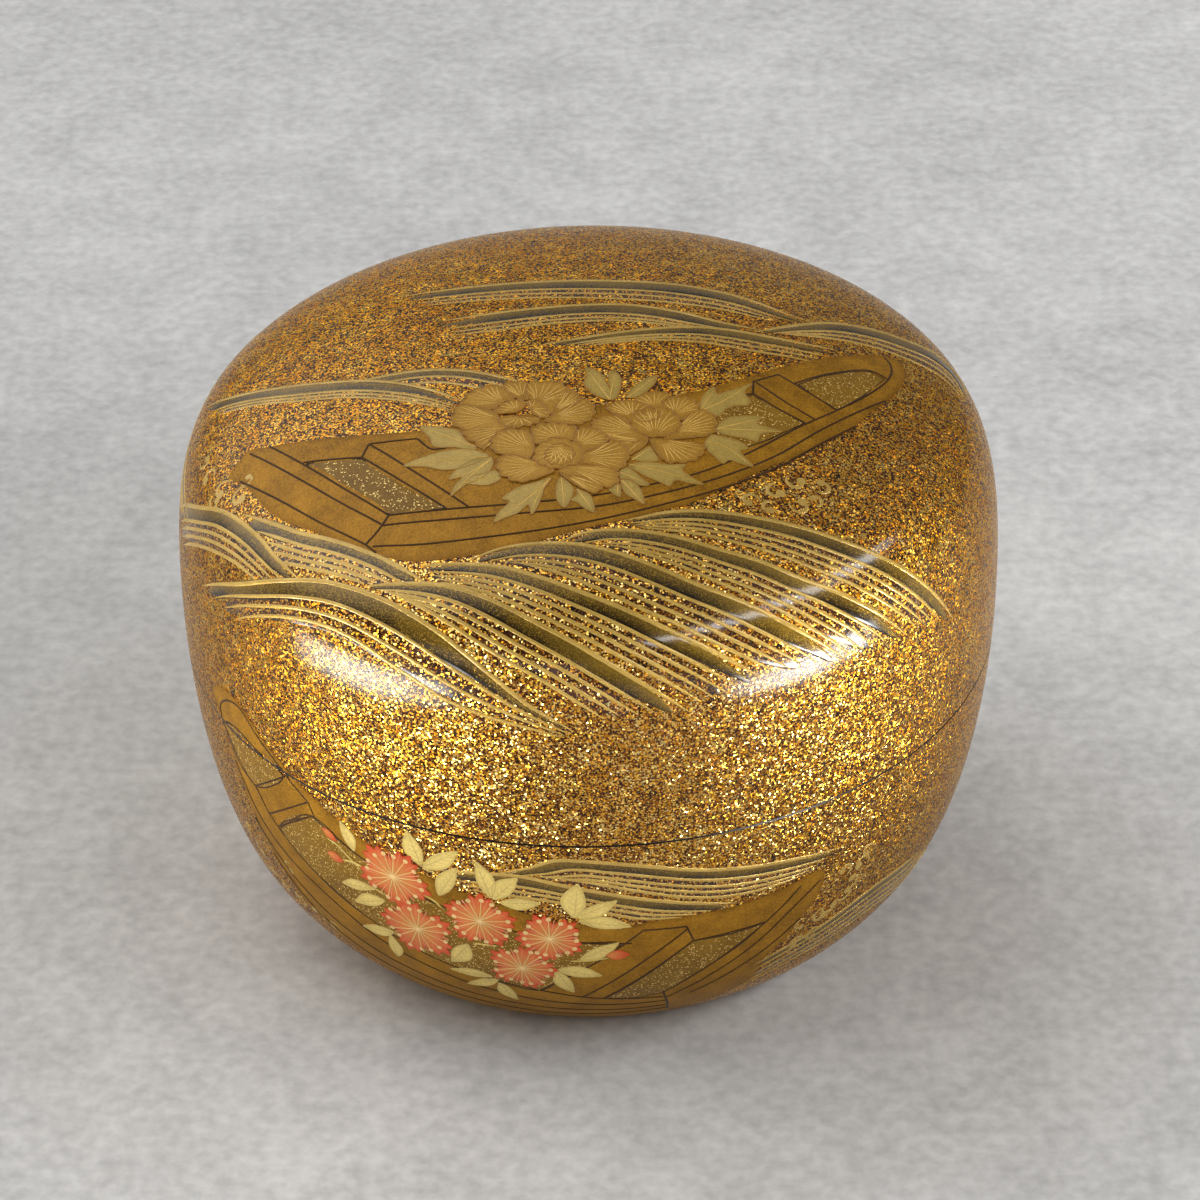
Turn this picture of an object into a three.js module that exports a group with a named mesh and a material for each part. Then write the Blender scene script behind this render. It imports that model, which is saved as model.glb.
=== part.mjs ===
// A flat tea caddy in lacquered wood: a low round vessel and the deep lid that drops over its collar.
// Millimetres, +Z up. The origin is the centre of the foot, on the surface that the caddy stands on.
import * as THREE from 'three';

// Outline of the closed caddy
const OUTER_RADIUS = 41;
const HEIGHT = 62;
const WIDEST_HEIGHT = 38;

// The crown's round shoulder: where the outline turns, and how steep it is there
const SHOULDER_INSET = 3;
const SHOULDER_DROP = 8.8;
const SHOULDER_TILT = THREE.MathUtils.degToRad(50);

// The hip, where the side turns under to the foot
const HIP_INSET = 5.3;
const HIP_HEIGHT = 9;
const HIP_TILT = THREE.MathUtils.degToRad(120);

// The foot: a flat ring round a shallow hollow
const FOOT_RADIUS = 27;
const FOOT_TILT = THREE.MathUtils.degToRad(148);
const FOOT_RING_WIDTH = 2.4;
const FOOT_HOLLOW_DEPTH = 0.8;
const FOOT_HOLLOW_BEVEL = 0.5;

// How full each stretch of the outline is, as shares of its chord
const CROWN_FULLNESS = [0.37, 0.235];
const UPPER_WALL_FULLNESS = [0.265, 0.395];
const LOWER_WALL_FULLNESS = [0.385, 0.24];
const UNDERSIDE_FULLNESS = [0.31, 0.35];

// Walls of the two turned pieces
const LID_WALL = 2.2;
const LID_RIM_WALL = 1.7;
const BODY_WALL = 2.2;
const FLOOR_THICKNESS = 2.4;

// The joint: the lid's rim stands on the body's ledge, round a collar that rises inside the lid
const SEAM_HEIGHT = 31.2;
const EDGE_BREAK = 0.12;
const COLLAR_HEIGHT = 5.6;
const COLLAR_WALL = 1.3;
const COLLAR_CLEARANCE = 0.2;
const COLLAR_TOP_CLEARANCE = 0.6;
const COLLAR_EDGE_BREAK = 0.35;

// Fineness of the turned surfaces
const SIDES = 72;
const OUTSIDE_STEPS = 7;
const INSIDE_STEPS = 5;
const SEARCH_STEPS = 400;
const SAME_POINT = 0.01;

const crown = new THREE.Vector2(0, HEIGHT);
const shoulder = new THREE.Vector2(OUTER_RADIUS - SHOULDER_INSET, HEIGHT - SHOULDER_DROP);
const widest = new THREE.Vector2(OUTER_RADIUS, WIDEST_HEIGHT);
const hip = new THREE.Vector2(OUTER_RADIUS - HIP_INSET, HIP_HEIGHT);
const foot = new THREE.Vector2(FOOT_RADIUS, 0);

// The direction of the outline, going down, where its outward normal leans this far from straight up
function heading(tilt) {
  return new THREE.Vector2(Math.cos(tilt), -Math.sin(tilt));
}

// One smooth stretch of the outline between two turning points
function stretch(from, fromTilt, to, toTilt, fullness) {
  const chord = from.distanceTo(to);
  const leave = from.clone().addScaledVector(heading(fromTilt), fullness[0] * chord);
  const arrive = to.clone().addScaledVector(heading(toTilt), -fullness[1] * chord);
  return new THREE.CubicBezierCurve(from, leave, arrive, to);
}

const stretches = [
  stretch(crown, 0, shoulder, SHOULDER_TILT, CROWN_FULLNESS),
  stretch(shoulder, SHOULDER_TILT, widest, Math.PI / 2, UPPER_WALL_FULLNESS),
  stretch(widest, Math.PI / 2, hip, HIP_TILT, LOWER_WALL_FULLNESS),
  stretch(hip, HIP_TILT, foot, FOOT_TILT, UNDERSIDE_FULLNESS),
];

// The outline from crown to foot, moved inwards by a wall's thickness
function outline(steps, inwards = 0) {
  const points = [];
  stretches.forEach((curve, index) => {
    for (let step = index === 0 ? 0 : 1; step <= steps; step += 1) {
      const at = step / steps;
      const along = curve.getTangent(at);
      const point = curve.getPoint(at);
      points.push(new THREE.Vector2(point.x + along.y * inwards, point.y - along.x * inwards));
    }
  });
  return points;
}

// The outline's radius at a height, read between two close points
function radiusAt(height, inwards = 0) {
  const points = outline(SEARCH_STEPS, inwards);
  const below = points.findIndex((point) => point.y <= height);
  const [upper, lower] = [points[below - 1], points[below]];
  return THREE.MathUtils.mapLinear(height, upper.y, lower.y, upper.x, lower.x);
}

const seamRadius = radiusAt(SEAM_HEIGHT);
const lidBore = seamRadius - LID_RIM_WALL;
const collarRadius = lidBore - COLLAR_CLEARANCE;
const collarBore = collarRadius - COLLAR_WALL;
const collarTop = SEAM_HEIGHT + COLLAR_HEIGHT;
const boreTop = collarTop + COLLAR_TOP_CLEARANCE;
const floorTop = FOOT_HOLLOW_DEPTH + FLOOR_THICKNESS;

// Turns a closed section, given as radius and height, about the upright axis
function turned(name, section, material) {
  const corners = section.filter((point, index) => (
    index === 0 || point.distanceTo(section[index - 1]) > SAME_POINT
  ));
  const geometry = new THREE.LatheGeometry(corners, SIDES);
  geometry.rotateX(Math.PI / 2);
  const mesh = new THREE.Mesh(geometry, material);
  mesh.name = name;
  return mesh;
}

// The lid: a domed cap, its bore straight where it slides over the collar; read from the crown
// down the outside, then up the inside
function lidSection() {
  const outside = outline(OUTSIDE_STEPS)
    .filter((point) => point.y > SEAM_HEIGHT + 2 * EDGE_BREAK);
  const rim = [
    new THREE.Vector2(radiusAt(SEAM_HEIGHT + EDGE_BREAK), SEAM_HEIGHT + EDGE_BREAK),
    new THREE.Vector2(seamRadius - EDGE_BREAK, SEAM_HEIGHT),
    new THREE.Vector2(lidBore + EDGE_BREAK, SEAM_HEIGHT),
    new THREE.Vector2(lidBore, SEAM_HEIGHT + EDGE_BREAK),
    new THREE.Vector2(lidBore, boreTop),
    new THREE.Vector2(Math.min(radiusAt(boreTop, LID_WALL), lidBore), boreTop),
  ];
  const inside = outline(INSIDE_STEPS, LID_WALL)
    .filter((point) => point.y > boreTop + LID_WALL / 4)
    .map((point) => new THREE.Vector2(Math.min(point.x, lidBore), point.y))
    .reverse();
  return [...outside, ...rim, ...inside];
}

// The body: a rounded bowl with a ledge at the joint and a collar rising from it; read from the
// middle of the foot up the outside, then down the inside
function bodySection() {
  const hollowRadius = FOOT_RADIUS - FOOT_RING_WIDTH;
  const underside = [
    new THREE.Vector2(0, FOOT_HOLLOW_DEPTH),
    new THREE.Vector2(hollowRadius - FOOT_HOLLOW_BEVEL, FOOT_HOLLOW_DEPTH),
    new THREE.Vector2(hollowRadius, 0),
  ];
  const outside = outline(OUTSIDE_STEPS)
    .filter((point) => point.y < SEAM_HEIGHT - 2 * EDGE_BREAK)
    .reverse();
  const ledgeAndCollar = [
    new THREE.Vector2(radiusAt(SEAM_HEIGHT - EDGE_BREAK), SEAM_HEIGHT - EDGE_BREAK),
    new THREE.Vector2(seamRadius - EDGE_BREAK, SEAM_HEIGHT),
    new THREE.Vector2(collarRadius, SEAM_HEIGHT),
    new THREE.Vector2(collarRadius, collarTop - COLLAR_EDGE_BREAK),
    new THREE.Vector2(collarRadius - COLLAR_EDGE_BREAK, collarTop),
    new THREE.Vector2(collarBore + COLLAR_EDGE_BREAK, collarTop),
    new THREE.Vector2(collarBore, collarTop - COLLAR_EDGE_BREAK),
  ];
  const inside = outline(INSIDE_STEPS, BODY_WALL)
    .filter((point) => point.y < SEAM_HEIGHT && point.y > floorTop + BODY_WALL / 4)
    .map((point) => new THREE.Vector2(Math.min(point.x, collarBore), point.y));
  const floor = [
    new THREE.Vector2(radiusAt(floorTop, BODY_WALL), floorTop),
    new THREE.Vector2(0, floorTop),
  ];
  return [...underside, ...outside, ...ledgeAndCollar, ...inside, ...floor];
}

const lidLacquer = new THREE.MeshStandardMaterial({ color: 0xa8752c, metalness: 0.6, roughness: 0.25 });
const bodyLacquer = new THREE.MeshStandardMaterial({ color: 0xa06e2a, metalness: 0.6, roughness: 0.25 });

const caddy = new THREE.Group();
caddy.add(turned('lid', lidSection().reverse(), lidLacquer));
caddy.add(turned('body', bodySection(), bodyLacquer));

export default caddy;
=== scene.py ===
import math

import bpy
import numpy as np
from mathutils import Matrix, Vector
from mathutils.geometry import delaunay_2d_cdt


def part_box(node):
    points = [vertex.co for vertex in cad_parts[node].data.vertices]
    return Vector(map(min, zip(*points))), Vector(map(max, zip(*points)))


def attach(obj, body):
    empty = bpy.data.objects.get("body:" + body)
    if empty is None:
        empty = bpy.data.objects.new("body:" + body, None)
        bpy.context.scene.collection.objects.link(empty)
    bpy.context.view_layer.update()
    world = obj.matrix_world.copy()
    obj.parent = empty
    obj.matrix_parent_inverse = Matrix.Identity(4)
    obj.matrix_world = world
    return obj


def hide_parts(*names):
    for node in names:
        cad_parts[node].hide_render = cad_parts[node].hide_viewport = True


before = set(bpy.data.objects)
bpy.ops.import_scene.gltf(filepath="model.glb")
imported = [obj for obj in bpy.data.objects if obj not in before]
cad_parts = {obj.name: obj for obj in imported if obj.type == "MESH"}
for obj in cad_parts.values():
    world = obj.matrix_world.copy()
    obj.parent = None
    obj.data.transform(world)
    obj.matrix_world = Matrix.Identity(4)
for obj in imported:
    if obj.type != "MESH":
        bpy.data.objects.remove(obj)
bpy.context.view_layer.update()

MM = 0.001

# Sizes of the turned caddy in mm, read from the solids where they show it
lid_low, lid_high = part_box("lid")
_, body_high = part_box("body")
OUTER_RADIUS = (lid_high.x - lid_low.x) / 2 / MM
HEIGHT = lid_high.z / MM
SEAM_HEIGHT = lid_low.z / MM
COLLAR_TOP = body_high.z / MM
WIDEST_HEIGHT = 38
SHOULDER_INSET, SHOULDER_DROP, SHOULDER_TILT = 3, 8.8, math.radians(50)
HIP_INSET, HIP_HEIGHT, HIP_TILT = 5.3, 9, math.radians(120)
FOOT_RADIUS, FOOT_TILT = 27, math.radians(148)
FOOT_RING_WIDTH, FOOT_HOLLOW_DEPTH, FOOT_HOLLOW_BEVEL = 2.4, 0.8, 0.5
LID_WALL, LID_RIM_WALL, BODY_WALL, FLOOR_THICKNESS = 2.2, 1.7, 2.2, 2.4
EDGE_BREAK = 0.12
COLLAR_WALL, COLLAR_CLEARANCE, COLLAR_TOP_CLEARANCE, COLLAR_EDGE_BREAK = 1.3, 0.2, 0.6, 0.35

# Fineness of the turned surfaces and of the outline that is measured, and the radius at which the
# side's patterns are unrolled
SIDES = 288
STEPS = 36
FINE_STEPS = 300
SIDE_SCALE = 40


# The outline that was turned on the lathe

def heading(tilt):
    return np.array([math.cos(tilt), -math.sin(tilt)])


def stretch(start, start_tilt, end, end_tilt, fullness, steps):
    """One smooth stretch of the outline: its points and the direction along it."""
    start, end = np.array(start, float), np.array(end, float)
    chord = np.linalg.norm(end - start)
    leave = start + heading(start_tilt) * fullness[0] * chord
    arrive = end - heading(end_tilt) * fullness[1] * chord
    t = np.linspace(0, 1, steps + 1)[:, None]
    points = (1 - t) ** 3 * start + 3 * (1 - t) ** 2 * t * leave
    points = points + 3 * (1 - t) * t * t * arrive + t ** 3 * end
    along = (1 - t) ** 2 * (leave - start) + 2 * (1 - t) * t * (arrive - leave)
    along = along + t * t * (end - arrive)
    return points, along / np.linalg.norm(along, axis=1)[:, None]


def outline(steps, inwards=0.0):
    """Radius and height from the crown to the foot, moved inwards by a wall."""
    shoulder = (OUTER_RADIUS - SHOULDER_INSET, HEIGHT - SHOULDER_DROP)
    widest = (OUTER_RADIUS, WIDEST_HEIGHT)
    hip = (OUTER_RADIUS - HIP_INSET, HIP_HEIGHT)
    level = math.pi / 2
    stretches = [
        stretch((0, HEIGHT), 0, shoulder, SHOULDER_TILT, (0.37, 0.235), steps),
        stretch(shoulder, SHOULDER_TILT, widest, level, (0.265, 0.395), steps),
        stretch(widest, level, hip, HIP_TILT, (0.385, 0.24), steps),
        stretch(hip, HIP_TILT, (FOOT_RADIUS, 0), FOOT_TILT, (0.31, 0.35), steps),
    ]
    points = np.vstack([p if i == 0 else p[1:] for i, (p, _) in enumerate(stretches)])
    along = np.vstack([d if i == 0 else d[1:] for i, (_, d) in enumerate(stretches)])
    normals = np.c_[-along[:, 1], along[:, 0]]
    return points - normals * inwards, normals


FINE_OUTLINE, FINE_NORMALS = outline(FINE_STEPS)
RUN = np.r_[0, np.cumsum(np.linalg.norm(np.diff(FINE_OUTLINE, axis=0), axis=1))]


def radius_at(height, inwards=0.0):
    points, _ = outline(FINE_STEPS, inwards)
    return float(np.interp(-height, -points[:, 1], points[:, 0]))


SEAM_RUN = float(np.interp(-SEAM_HEIGHT, -FINE_OUTLINE[:, 1], RUN))
SEAM_RADIUS = radius_at(SEAM_HEIGHT)
LID_BORE = SEAM_RADIUS - LID_RIM_WALL
COLLAR_RADIUS = LID_BORE - COLLAR_CLEARANCE
COLLAR_BORE = COLLAR_RADIUS - COLLAR_WALL


def lid_section():
    """Up the inside of the lid, then down the outside; the last value marks the inside."""
    bore_top = COLLAR_TOP + COLLAR_TOP_CLEARANCE
    inside, _ = outline(STEPS // 2, LID_WALL)
    inside = [(min(r, LID_BORE), z, 1) for r, z in inside if z > bore_top + LID_WALL / 4]
    rim = [
        (min(radius_at(bore_top, LID_WALL), LID_BORE), bore_top, 1),
        (LID_BORE, bore_top, 1),
        (LID_BORE, SEAM_HEIGHT + EDGE_BREAK, 1),
        (LID_BORE + EDGE_BREAK, SEAM_HEIGHT, 1),
        (SEAM_RADIUS - EDGE_BREAK, SEAM_HEIGHT, 1),
        (radius_at(SEAM_HEIGHT + EDGE_BREAK), SEAM_HEIGHT + EDGE_BREAK, 1),
    ]
    outside, _ = outline(STEPS)
    outside = [(r, z, 0) for r, z in outside if z > SEAM_HEIGHT + 2 * EDGE_BREAK]
    return inside + rim + outside[::-1]


def body_section():
    """From the middle of the foot up the outside, then down the inside to the floor's middle."""
    hollow_radius = FOOT_RADIUS - FOOT_RING_WIDTH
    floor_top = FOOT_HOLLOW_DEPTH + FLOOR_THICKNESS
    underside = [
        (0, FOOT_HOLLOW_DEPTH, 1),
        (hollow_radius - FOOT_HOLLOW_BEVEL, FOOT_HOLLOW_DEPTH, 1),
        (hollow_radius, 0, 1),
    ]
    outside, _ = outline(STEPS)
    outside = [(r, z, 0) for r, z in outside if z < SEAM_HEIGHT - 2 * EDGE_BREAK][::-1]
    collar = [
        (radius_at(SEAM_HEIGHT - EDGE_BREAK), SEAM_HEIGHT - EDGE_BREAK, 1),
        (SEAM_RADIUS - EDGE_BREAK, SEAM_HEIGHT, 1),
        (COLLAR_RADIUS, SEAM_HEIGHT, 1),
        (COLLAR_RADIUS, COLLAR_TOP - COLLAR_EDGE_BREAK, 1),
        (COLLAR_RADIUS - COLLAR_EDGE_BREAK, COLLAR_TOP, 1),
        (COLLAR_BORE + COLLAR_EDGE_BREAK, COLLAR_TOP, 1),
        (COLLAR_BORE, COLLAR_TOP - COLLAR_EDGE_BREAK, 1),
    ]
    inside, _ = outline(STEPS // 2, BODY_WALL)
    inside = [
        (min(r, COLLAR_BORE), z, 1)
        for r, z in inside
        if floor_top + BODY_WALL / 4 < z < SEAM_HEIGHT
    ]
    floor = [(radius_at(floor_top, BODY_WALL), floor_top, 1), (0, floor_top, 1)]
    return underside + outside + collar + inside + floor


# Places on the outside: "run" is the distance in mm from the crown along the outline,
# "turn" the angle round the axis from the front (-Y) towards +X

def surface(turn, run):
    """Points and normals on the outside, in mm."""
    turn, run = np.asarray(turn, float), np.asarray(run, float)
    radius = np.interp(run, RUN, FINE_OUTLINE[:, 0])
    height = np.interp(run, RUN, FINE_OUTLINE[:, 1])
    out = np.interp(run, RUN, FINE_NORMALS[:, 0])
    rise = np.interp(run, RUN, FINE_NORMALS[:, 1])
    points = np.stack([radius * np.sin(turn), -radius * np.cos(turn), height], -1)
    normals = np.stack([out * np.sin(turn), -out * np.cos(turn), rise], -1)
    return points, normals / np.linalg.norm(normals, axis=-1, keepdims=True)


def on_lid(flat):
    """Flat lid pattern (right, back), unrolled about the crown, to points and normals."""
    flat = np.asarray(flat, float)
    return surface(np.arctan2(flat[..., 0], -flat[..., 1]), np.hypot(flat[..., 0], flat[..., 1]))


def on_side(flat):
    """Flat side pattern (right along the seam, up from the seam) to points and normals."""
    flat = np.asarray(flat, float)
    return surface(flat[..., 0] / SIDE_SCALE, SEAM_RUN - flat[..., 1])


def smooth_path(points, spacing=0.6, closed=False):
    """A smooth line through the given points, in steps of about the spacing."""
    given = np.asarray(points, float)
    if closed:
        padded = np.vstack([given[-1], given, given[:2]])
    else:
        padded = np.vstack([2 * given[0] - given[1], given, 2 * given[-1] - given[-2]])
    knots = np.r_[0, np.cumsum(np.sqrt(np.linalg.norm(np.diff(padded, axis=0), axis=1)))]
    result = []
    for i in range(1, len(padded) - 2):
        p0, p1, p2, p3 = padded[i - 1:i + 3]
        t0, t1, t2, t3 = knots[i - 1:i + 3]
        count = max(2, int(np.linalg.norm(p2 - p1) / spacing) + 1)
        t = np.linspace(t1, t2, count, endpoint=False)[:, None]
        a1 = (t1 - t) / (t1 - t0) * p0 + (t - t0) / (t1 - t0) * p1
        a2 = (t2 - t) / (t2 - t1) * p1 + (t - t1) / (t2 - t1) * p2
        a3 = (t3 - t) / (t3 - t2) * p2 + (t - t2) / (t3 - t2) * p3
        b1 = (t2 - t) / (t2 - t0) * a1 + (t - t0) / (t2 - t0) * a2
        b2 = (t3 - t) / (t3 - t1) * a2 + (t - t1) / (t3 - t1) * a3
        result.append((t2 - t) / (t2 - t1) * b1 + (t - t1) / (t2 - t1) * b2)
    if not closed:
        result.append(given[-1:])
    return np.vstack(result)


# Nodes, for shapes and for finishes

def join(tree, target, links):
    """Joins a node's inputs to sockets, or sets them to plain values."""
    for key, value in links.items():
        if isinstance(value, bpy.types.NodeSocket):
            tree.links.new(value, target.inputs[key])
        else:
            target.inputs[key].default_value = value


def node(tree, kind, links=(), **settings):
    """Adds a node with its settings, then joins or sets its inputs."""
    made = tree.nodes.new(kind)
    for key, value in settings.items():
        setattr(made, key, value)
    join(tree, made, dict(links))
    return made


def new_group(name, kind, inputs, outputs):
    """A node group with its sockets; returns it with its input and output nodes."""
    tree = bpy.data.node_groups.new(name, kind)
    for label, socket_kind in inputs:
        tree.interface.new_socket(label, in_out="INPUT", socket_type="NodeSocket" + socket_kind)
    for label, socket_kind in outputs:
        tree.interface.new_socket(label, in_out="OUTPUT", socket_type="NodeSocket" + socket_kind)
    return tree, tree.nodes.new("NodeGroupInput").outputs, tree.nodes.new("NodeGroupOutput")


def maths(tree, operation, *values):
    return node(tree, "ShaderNodeMath", dict(enumerate(values)), operation=operation).outputs[0]


def vectors(tree, operation, *values, **named):
    links = {**dict(enumerate(values)), **named}
    made = node(tree, "ShaderNodeVectorMath", links, operation=operation)
    return made.outputs["Value" if operation == "DOT_PRODUCT" else "Vector"]


def weighed(tree, *pairs):
    """The sum of the values, each times its weight."""
    parts = [maths(tree, "MULTIPLY", value, weight) for value, weight in pairs]
    total = parts[0]
    for part in parts[1:]:
        total = maths(tree, "ADD", total, part)
    return total


def ranged(tree, value, start=0.0, end=1.0, low=0.0, high=1.0, **settings):
    """The value carried from the range start to end over to the range low to high."""
    return node(tree, "ShaderNodeMapRange", {
        "Value": value, "From Min": start, "From Max": end, "To Min": low, "To Max": high,
    }, **settings).outputs[0]


# Geometry Nodes: the turning of a section, and lines laid on the lacquer

CORNER_ANGLE = 0.6
MERGE_DISTANCE = 2e-6
LEAST_HALF_WIDTH = 1e-6
SECTION_FLATNESS = 0.02
TOP_STARTS_AT = 0.05
SUNK = 0.03


def position(tree):
    return node(tree, "GeometryNodeInputPosition").outputs[0]


def split(tree, vector):
    return node(tree, "ShaderNodeSeparateXYZ", {0: vector}).outputs


def read(tree, name, kind="FLOAT"):
    return node(tree, "GeometryNodeInputNamedAttribute", {"Name": name},
                data_type=kind).outputs["Attribute"]


def store(tree, geometry, name, value, kind="FLOAT"):
    return node(tree, "GeometryNodeStoreNamedAttribute", {
        "Geometry": geometry, "Name": name, "Value": value,
    }, data_type=kind, domain="POINT").outputs[0]


def exceeds(tree, value, limit):
    return node(tree, "FunctionNodeCompare", {0: value, 1: limit},
                data_type="FLOAT", operation="GREATER_THAN").outputs[0]


def turning_tree():
    """Turns an open section (radius along X, height along Z) about the upright axis."""
    tree, given, result = new_group("Turn On Lathe", "GeometryNodeTree", [
        ("Geometry", "Geometry"),
        ("Outside Finish", "Material"),
        ("Inside Finish", "Material"),
    ], [("Geometry", "Geometry")])
    section = given["Geometry"]
    size = node(tree, "GeometryNodeAttributeDomainSize", {"Geometry": section})
    count = size.outputs["Point Count"]
    grid = node(tree, "GeometryNodeMeshGrid", {"Vertices X": SIDES + 1, "Vertices Y": count})
    place = split(tree, position(tree))
    angle = maths(tree, "MULTIPLY", maths(tree, "ADD", place["X"], 0.5), math.tau)
    share = maths(tree, "ADD", place["Y"], 0.5)
    last = maths(tree, "SUBTRACT", count, 1.0)
    index = maths(tree, "ROUND", maths(tree, "MULTIPLY", share, last))

    def of_section(value, kind):
        return node(tree, "GeometryNodeSampleIndex", {
            "Geometry": section, "Value": value, "Index": index,
        }, data_type=kind, domain="POINT").outputs[0]

    corner = split(tree, of_section(position(tree), "FLOAT_VECTOR"))
    turned = node(tree, "ShaderNodeCombineXYZ", {
        "X": maths(tree, "MULTIPLY", corner["X"], maths(tree, "COSINE", angle)),
        "Y": maths(tree, "MULTIPLY", corner["X"], maths(tree, "SINE", angle)),
        "Z": corner["Z"],
    })
    inside = of_section(read(tree, "inside"), "FLOAT")
    marked = store(tree, grid.outputs["Mesh"], "inside", inside)
    moved = node(tree, "GeometryNodeSetPosition", {
        "Geometry": marked, "Position": turned.outputs[0],
    })
    closed = node(tree, "GeometryNodeMergeByDistance", {
        "Geometry": moved.outputs[0], "Distance": MERGE_DISTANCE,
    })
    edge_angle = node(tree, "GeometryNodeInputMeshEdgeAngle").outputs[0]
    creased = node(tree, "GeometryNodeSetShadeSmooth", {
        "Geometry": closed.outputs[0],
        "Selection": exceeds(tree, edge_angle, CORNER_ANGLE),
        "Shade Smooth": False,
    }, domain="EDGE")
    outside = node(tree, "GeometryNodeSetMaterial", {
        "Geometry": creased.outputs[0],
        "Material": given["Outside Finish"],
    })
    finished = node(tree, "GeometryNodeSetMaterial", {
        "Geometry": outside.outputs[0],
        "Selection": exceeds(tree, read(tree, "inside"), 0.5),
        "Material": given["Inside Finish"],
    })
    tree.links.new(finished.outputs[0], result.inputs[0])
    return tree


def laid_line_tree():
    """Lays lines of lacquer along paths: flat underneath, rounded on top, hugging the surface."""
    tree, given, result = new_group("Lay Lines", "GeometryNodeTree", [
        ("Geometry", "Geometry"),
        ("Surface", "Object"),
        ("Thickness", "Float"),
        ("Section Sides", "Int"),
        ("Finish", "Material"),
    ], [("Geometry", "Geometry")])
    path = node(tree, "GeometryNodeMeshToCurve", {"Mesh": given["Geometry"]})
    even = node(tree, "GeometryNodeSetCurveRadius", {"Curve": path.outputs[0], "Radius": 1.0})
    upright = node(tree, "GeometryNodeSetCurveNormal", {
        "Curve": even.outputs[0],
        "Normal": read(tree, "surface_normal", "FLOAT_VECTOR"),
    }, mode="FREE")
    centred = store(tree, upright.outputs[0], "middle", position(tree), "FLOAT_VECTOR")
    ring = node(tree, "GeometryNodeCurvePrimitiveCircle", {
        "Resolution": given["Section Sides"], "Radius": 1.0,
    })
    lifted = store(tree, ring.outputs["Curve"], "lift", split(tree, position(tree))["X"])
    flat = node(tree, "GeometryNodeTransform", {
        "Geometry": lifted, "Scale": (SECTION_FLATNESS, 1.0, 1.0),
    })
    swept = node(tree, "GeometryNodeCurveToMesh", {
        "Curve": centred,
        "Profile Curve": flat.outputs[0],
        "Scale": read(tree, "half_width"),
        "Fill Caps": True,
    })
    offset = vectors(tree, "SUBTRACT", position(tree), read(tree, "middle", "FLOAT_VECTOR"))
    sideways = vectors(tree, "DOT_PRODUCT", offset, read(tree, "crest_side", "FLOAT_VECTOR"))
    half_width = maths(tree, "MAXIMUM", read(tree, "half_width"), LEAST_HALF_WIDTH)
    across = store(tree, swept.outputs[0], "across", maths(tree, "DIVIDE", sideways, half_width))
    surface_of = node(tree, "GeometryNodeObjectInfo", {"Object": given["Surface"]})

    def nearest(value):
        return node(tree, "GeometryNodeSampleNearestSurface", {
            "Mesh": surface_of.outputs["Geometry"], "Value": value,
        }, data_type="FLOAT_VECTOR").outputs[0]

    near = nearest(position(tree))
    facing = nearest(node(tree, "GeometryNodeInputNormal").outputs[0])
    lift = read(tree, "lift")
    rounded = maths(tree, "POWER", maths(tree, "MAXIMUM", lift, 0.0), 0.5)
    thick = maths(tree, "MULTIPLY", rounded, given["Thickness"])
    is_top = maths(tree, "GREATER_THAN", lift, TOP_STARTS_AT)
    is_bottom = maths(tree, "LESS_THAN", lift, TOP_STARTS_AT)
    above = maths(tree, "ADD", thick, maths(tree, "MULTIPLY", is_top, read(tree, "level")))
    below = maths(tree, "MULTIPLY", is_bottom, SUNK * MM)
    rise = vectors(tree, "SCALE", facing, Scale=maths(tree, "SUBTRACT", above, below))
    laid = node(tree, "GeometryNodeSetPosition", {
        "Geometry": across, "Position": vectors(tree, "ADD", near, rise),
    })
    smooth = node(tree, "GeometryNodeSetShadeSmooth", {
        "Geometry": laid.outputs[0], "Shade Smooth": True,
    })
    finished = node(tree, "GeometryNodeSetMaterial", {
        "Geometry": smooth.outputs[0], "Material": given["Finish"],
    })
    tree.links.new(finished.outputs[0], result.inputs[0])
    return tree


TURNING = turning_tree()
LAYING = laid_line_tree()


def add_object(name, data):
    made = bpy.data.objects.new(name, data)
    bpy.context.scene.collection.objects.link(made)
    return made


def mesh_object(name, points, edges=(), faces=()):
    mesh = bpy.data.meshes.new(name)
    mesh.from_pydata(*([tuple(item) for item in items] for items in (points, edges, faces)))
    return add_object(name, mesh)


def run_tree(source, tree, values, name):
    """Runs a tree on an object and keeps the result as a plain mesh of its own."""
    modifier = source.modifiers.new(tree.name, "NODES")
    modifier.node_group = tree
    for item in tree.interface.items_tree:
        if item.in_out == "INPUT" and item.name in values:
            modifier[item.identifier] = values[item.name]
    source.update_tag()
    bpy.context.view_layer.update()
    evaluated = source.evaluated_get(bpy.context.evaluated_depsgraph_get())
    mesh = bpy.data.meshes.new_from_object(evaluated)
    bpy.data.objects.remove(source)
    mesh.name = name
    return add_object(name, mesh)


def add_values(mesh, name, values, kind="FLOAT"):
    attribute = mesh.attributes.new(name, kind, "POINT")
    flat = np.asarray(values, np.float32).ravel()
    attribute.data.foreach_set("vector" if kind == "FLOAT_VECTOR" else "value", flat)


def turned_piece(name, section, outside_finish, inside_finish):
    points = [(r * MM, 0, z * MM) for r, z, _ in section]
    source = mesh_object(name + "_section", points, [(i, i + 1) for i in range(len(points) - 1)])
    add_values(source.data, "inside", [mark for _, _, mark in section])
    return run_tree(source, TURNING, {
        "Outside Finish": outside_finish,
        "Inside Finish": inside_finish,
    }, name)


# Laying on the lacquer, in mm: the gap left each side of the seam and the least width of a line;
# and where the grid of corners inside an area starts, in its steps
SEAM_GAP = 0.15
LEAST_WIDTH = 0.03
GRID_START = (0.37, 0.41)


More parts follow.
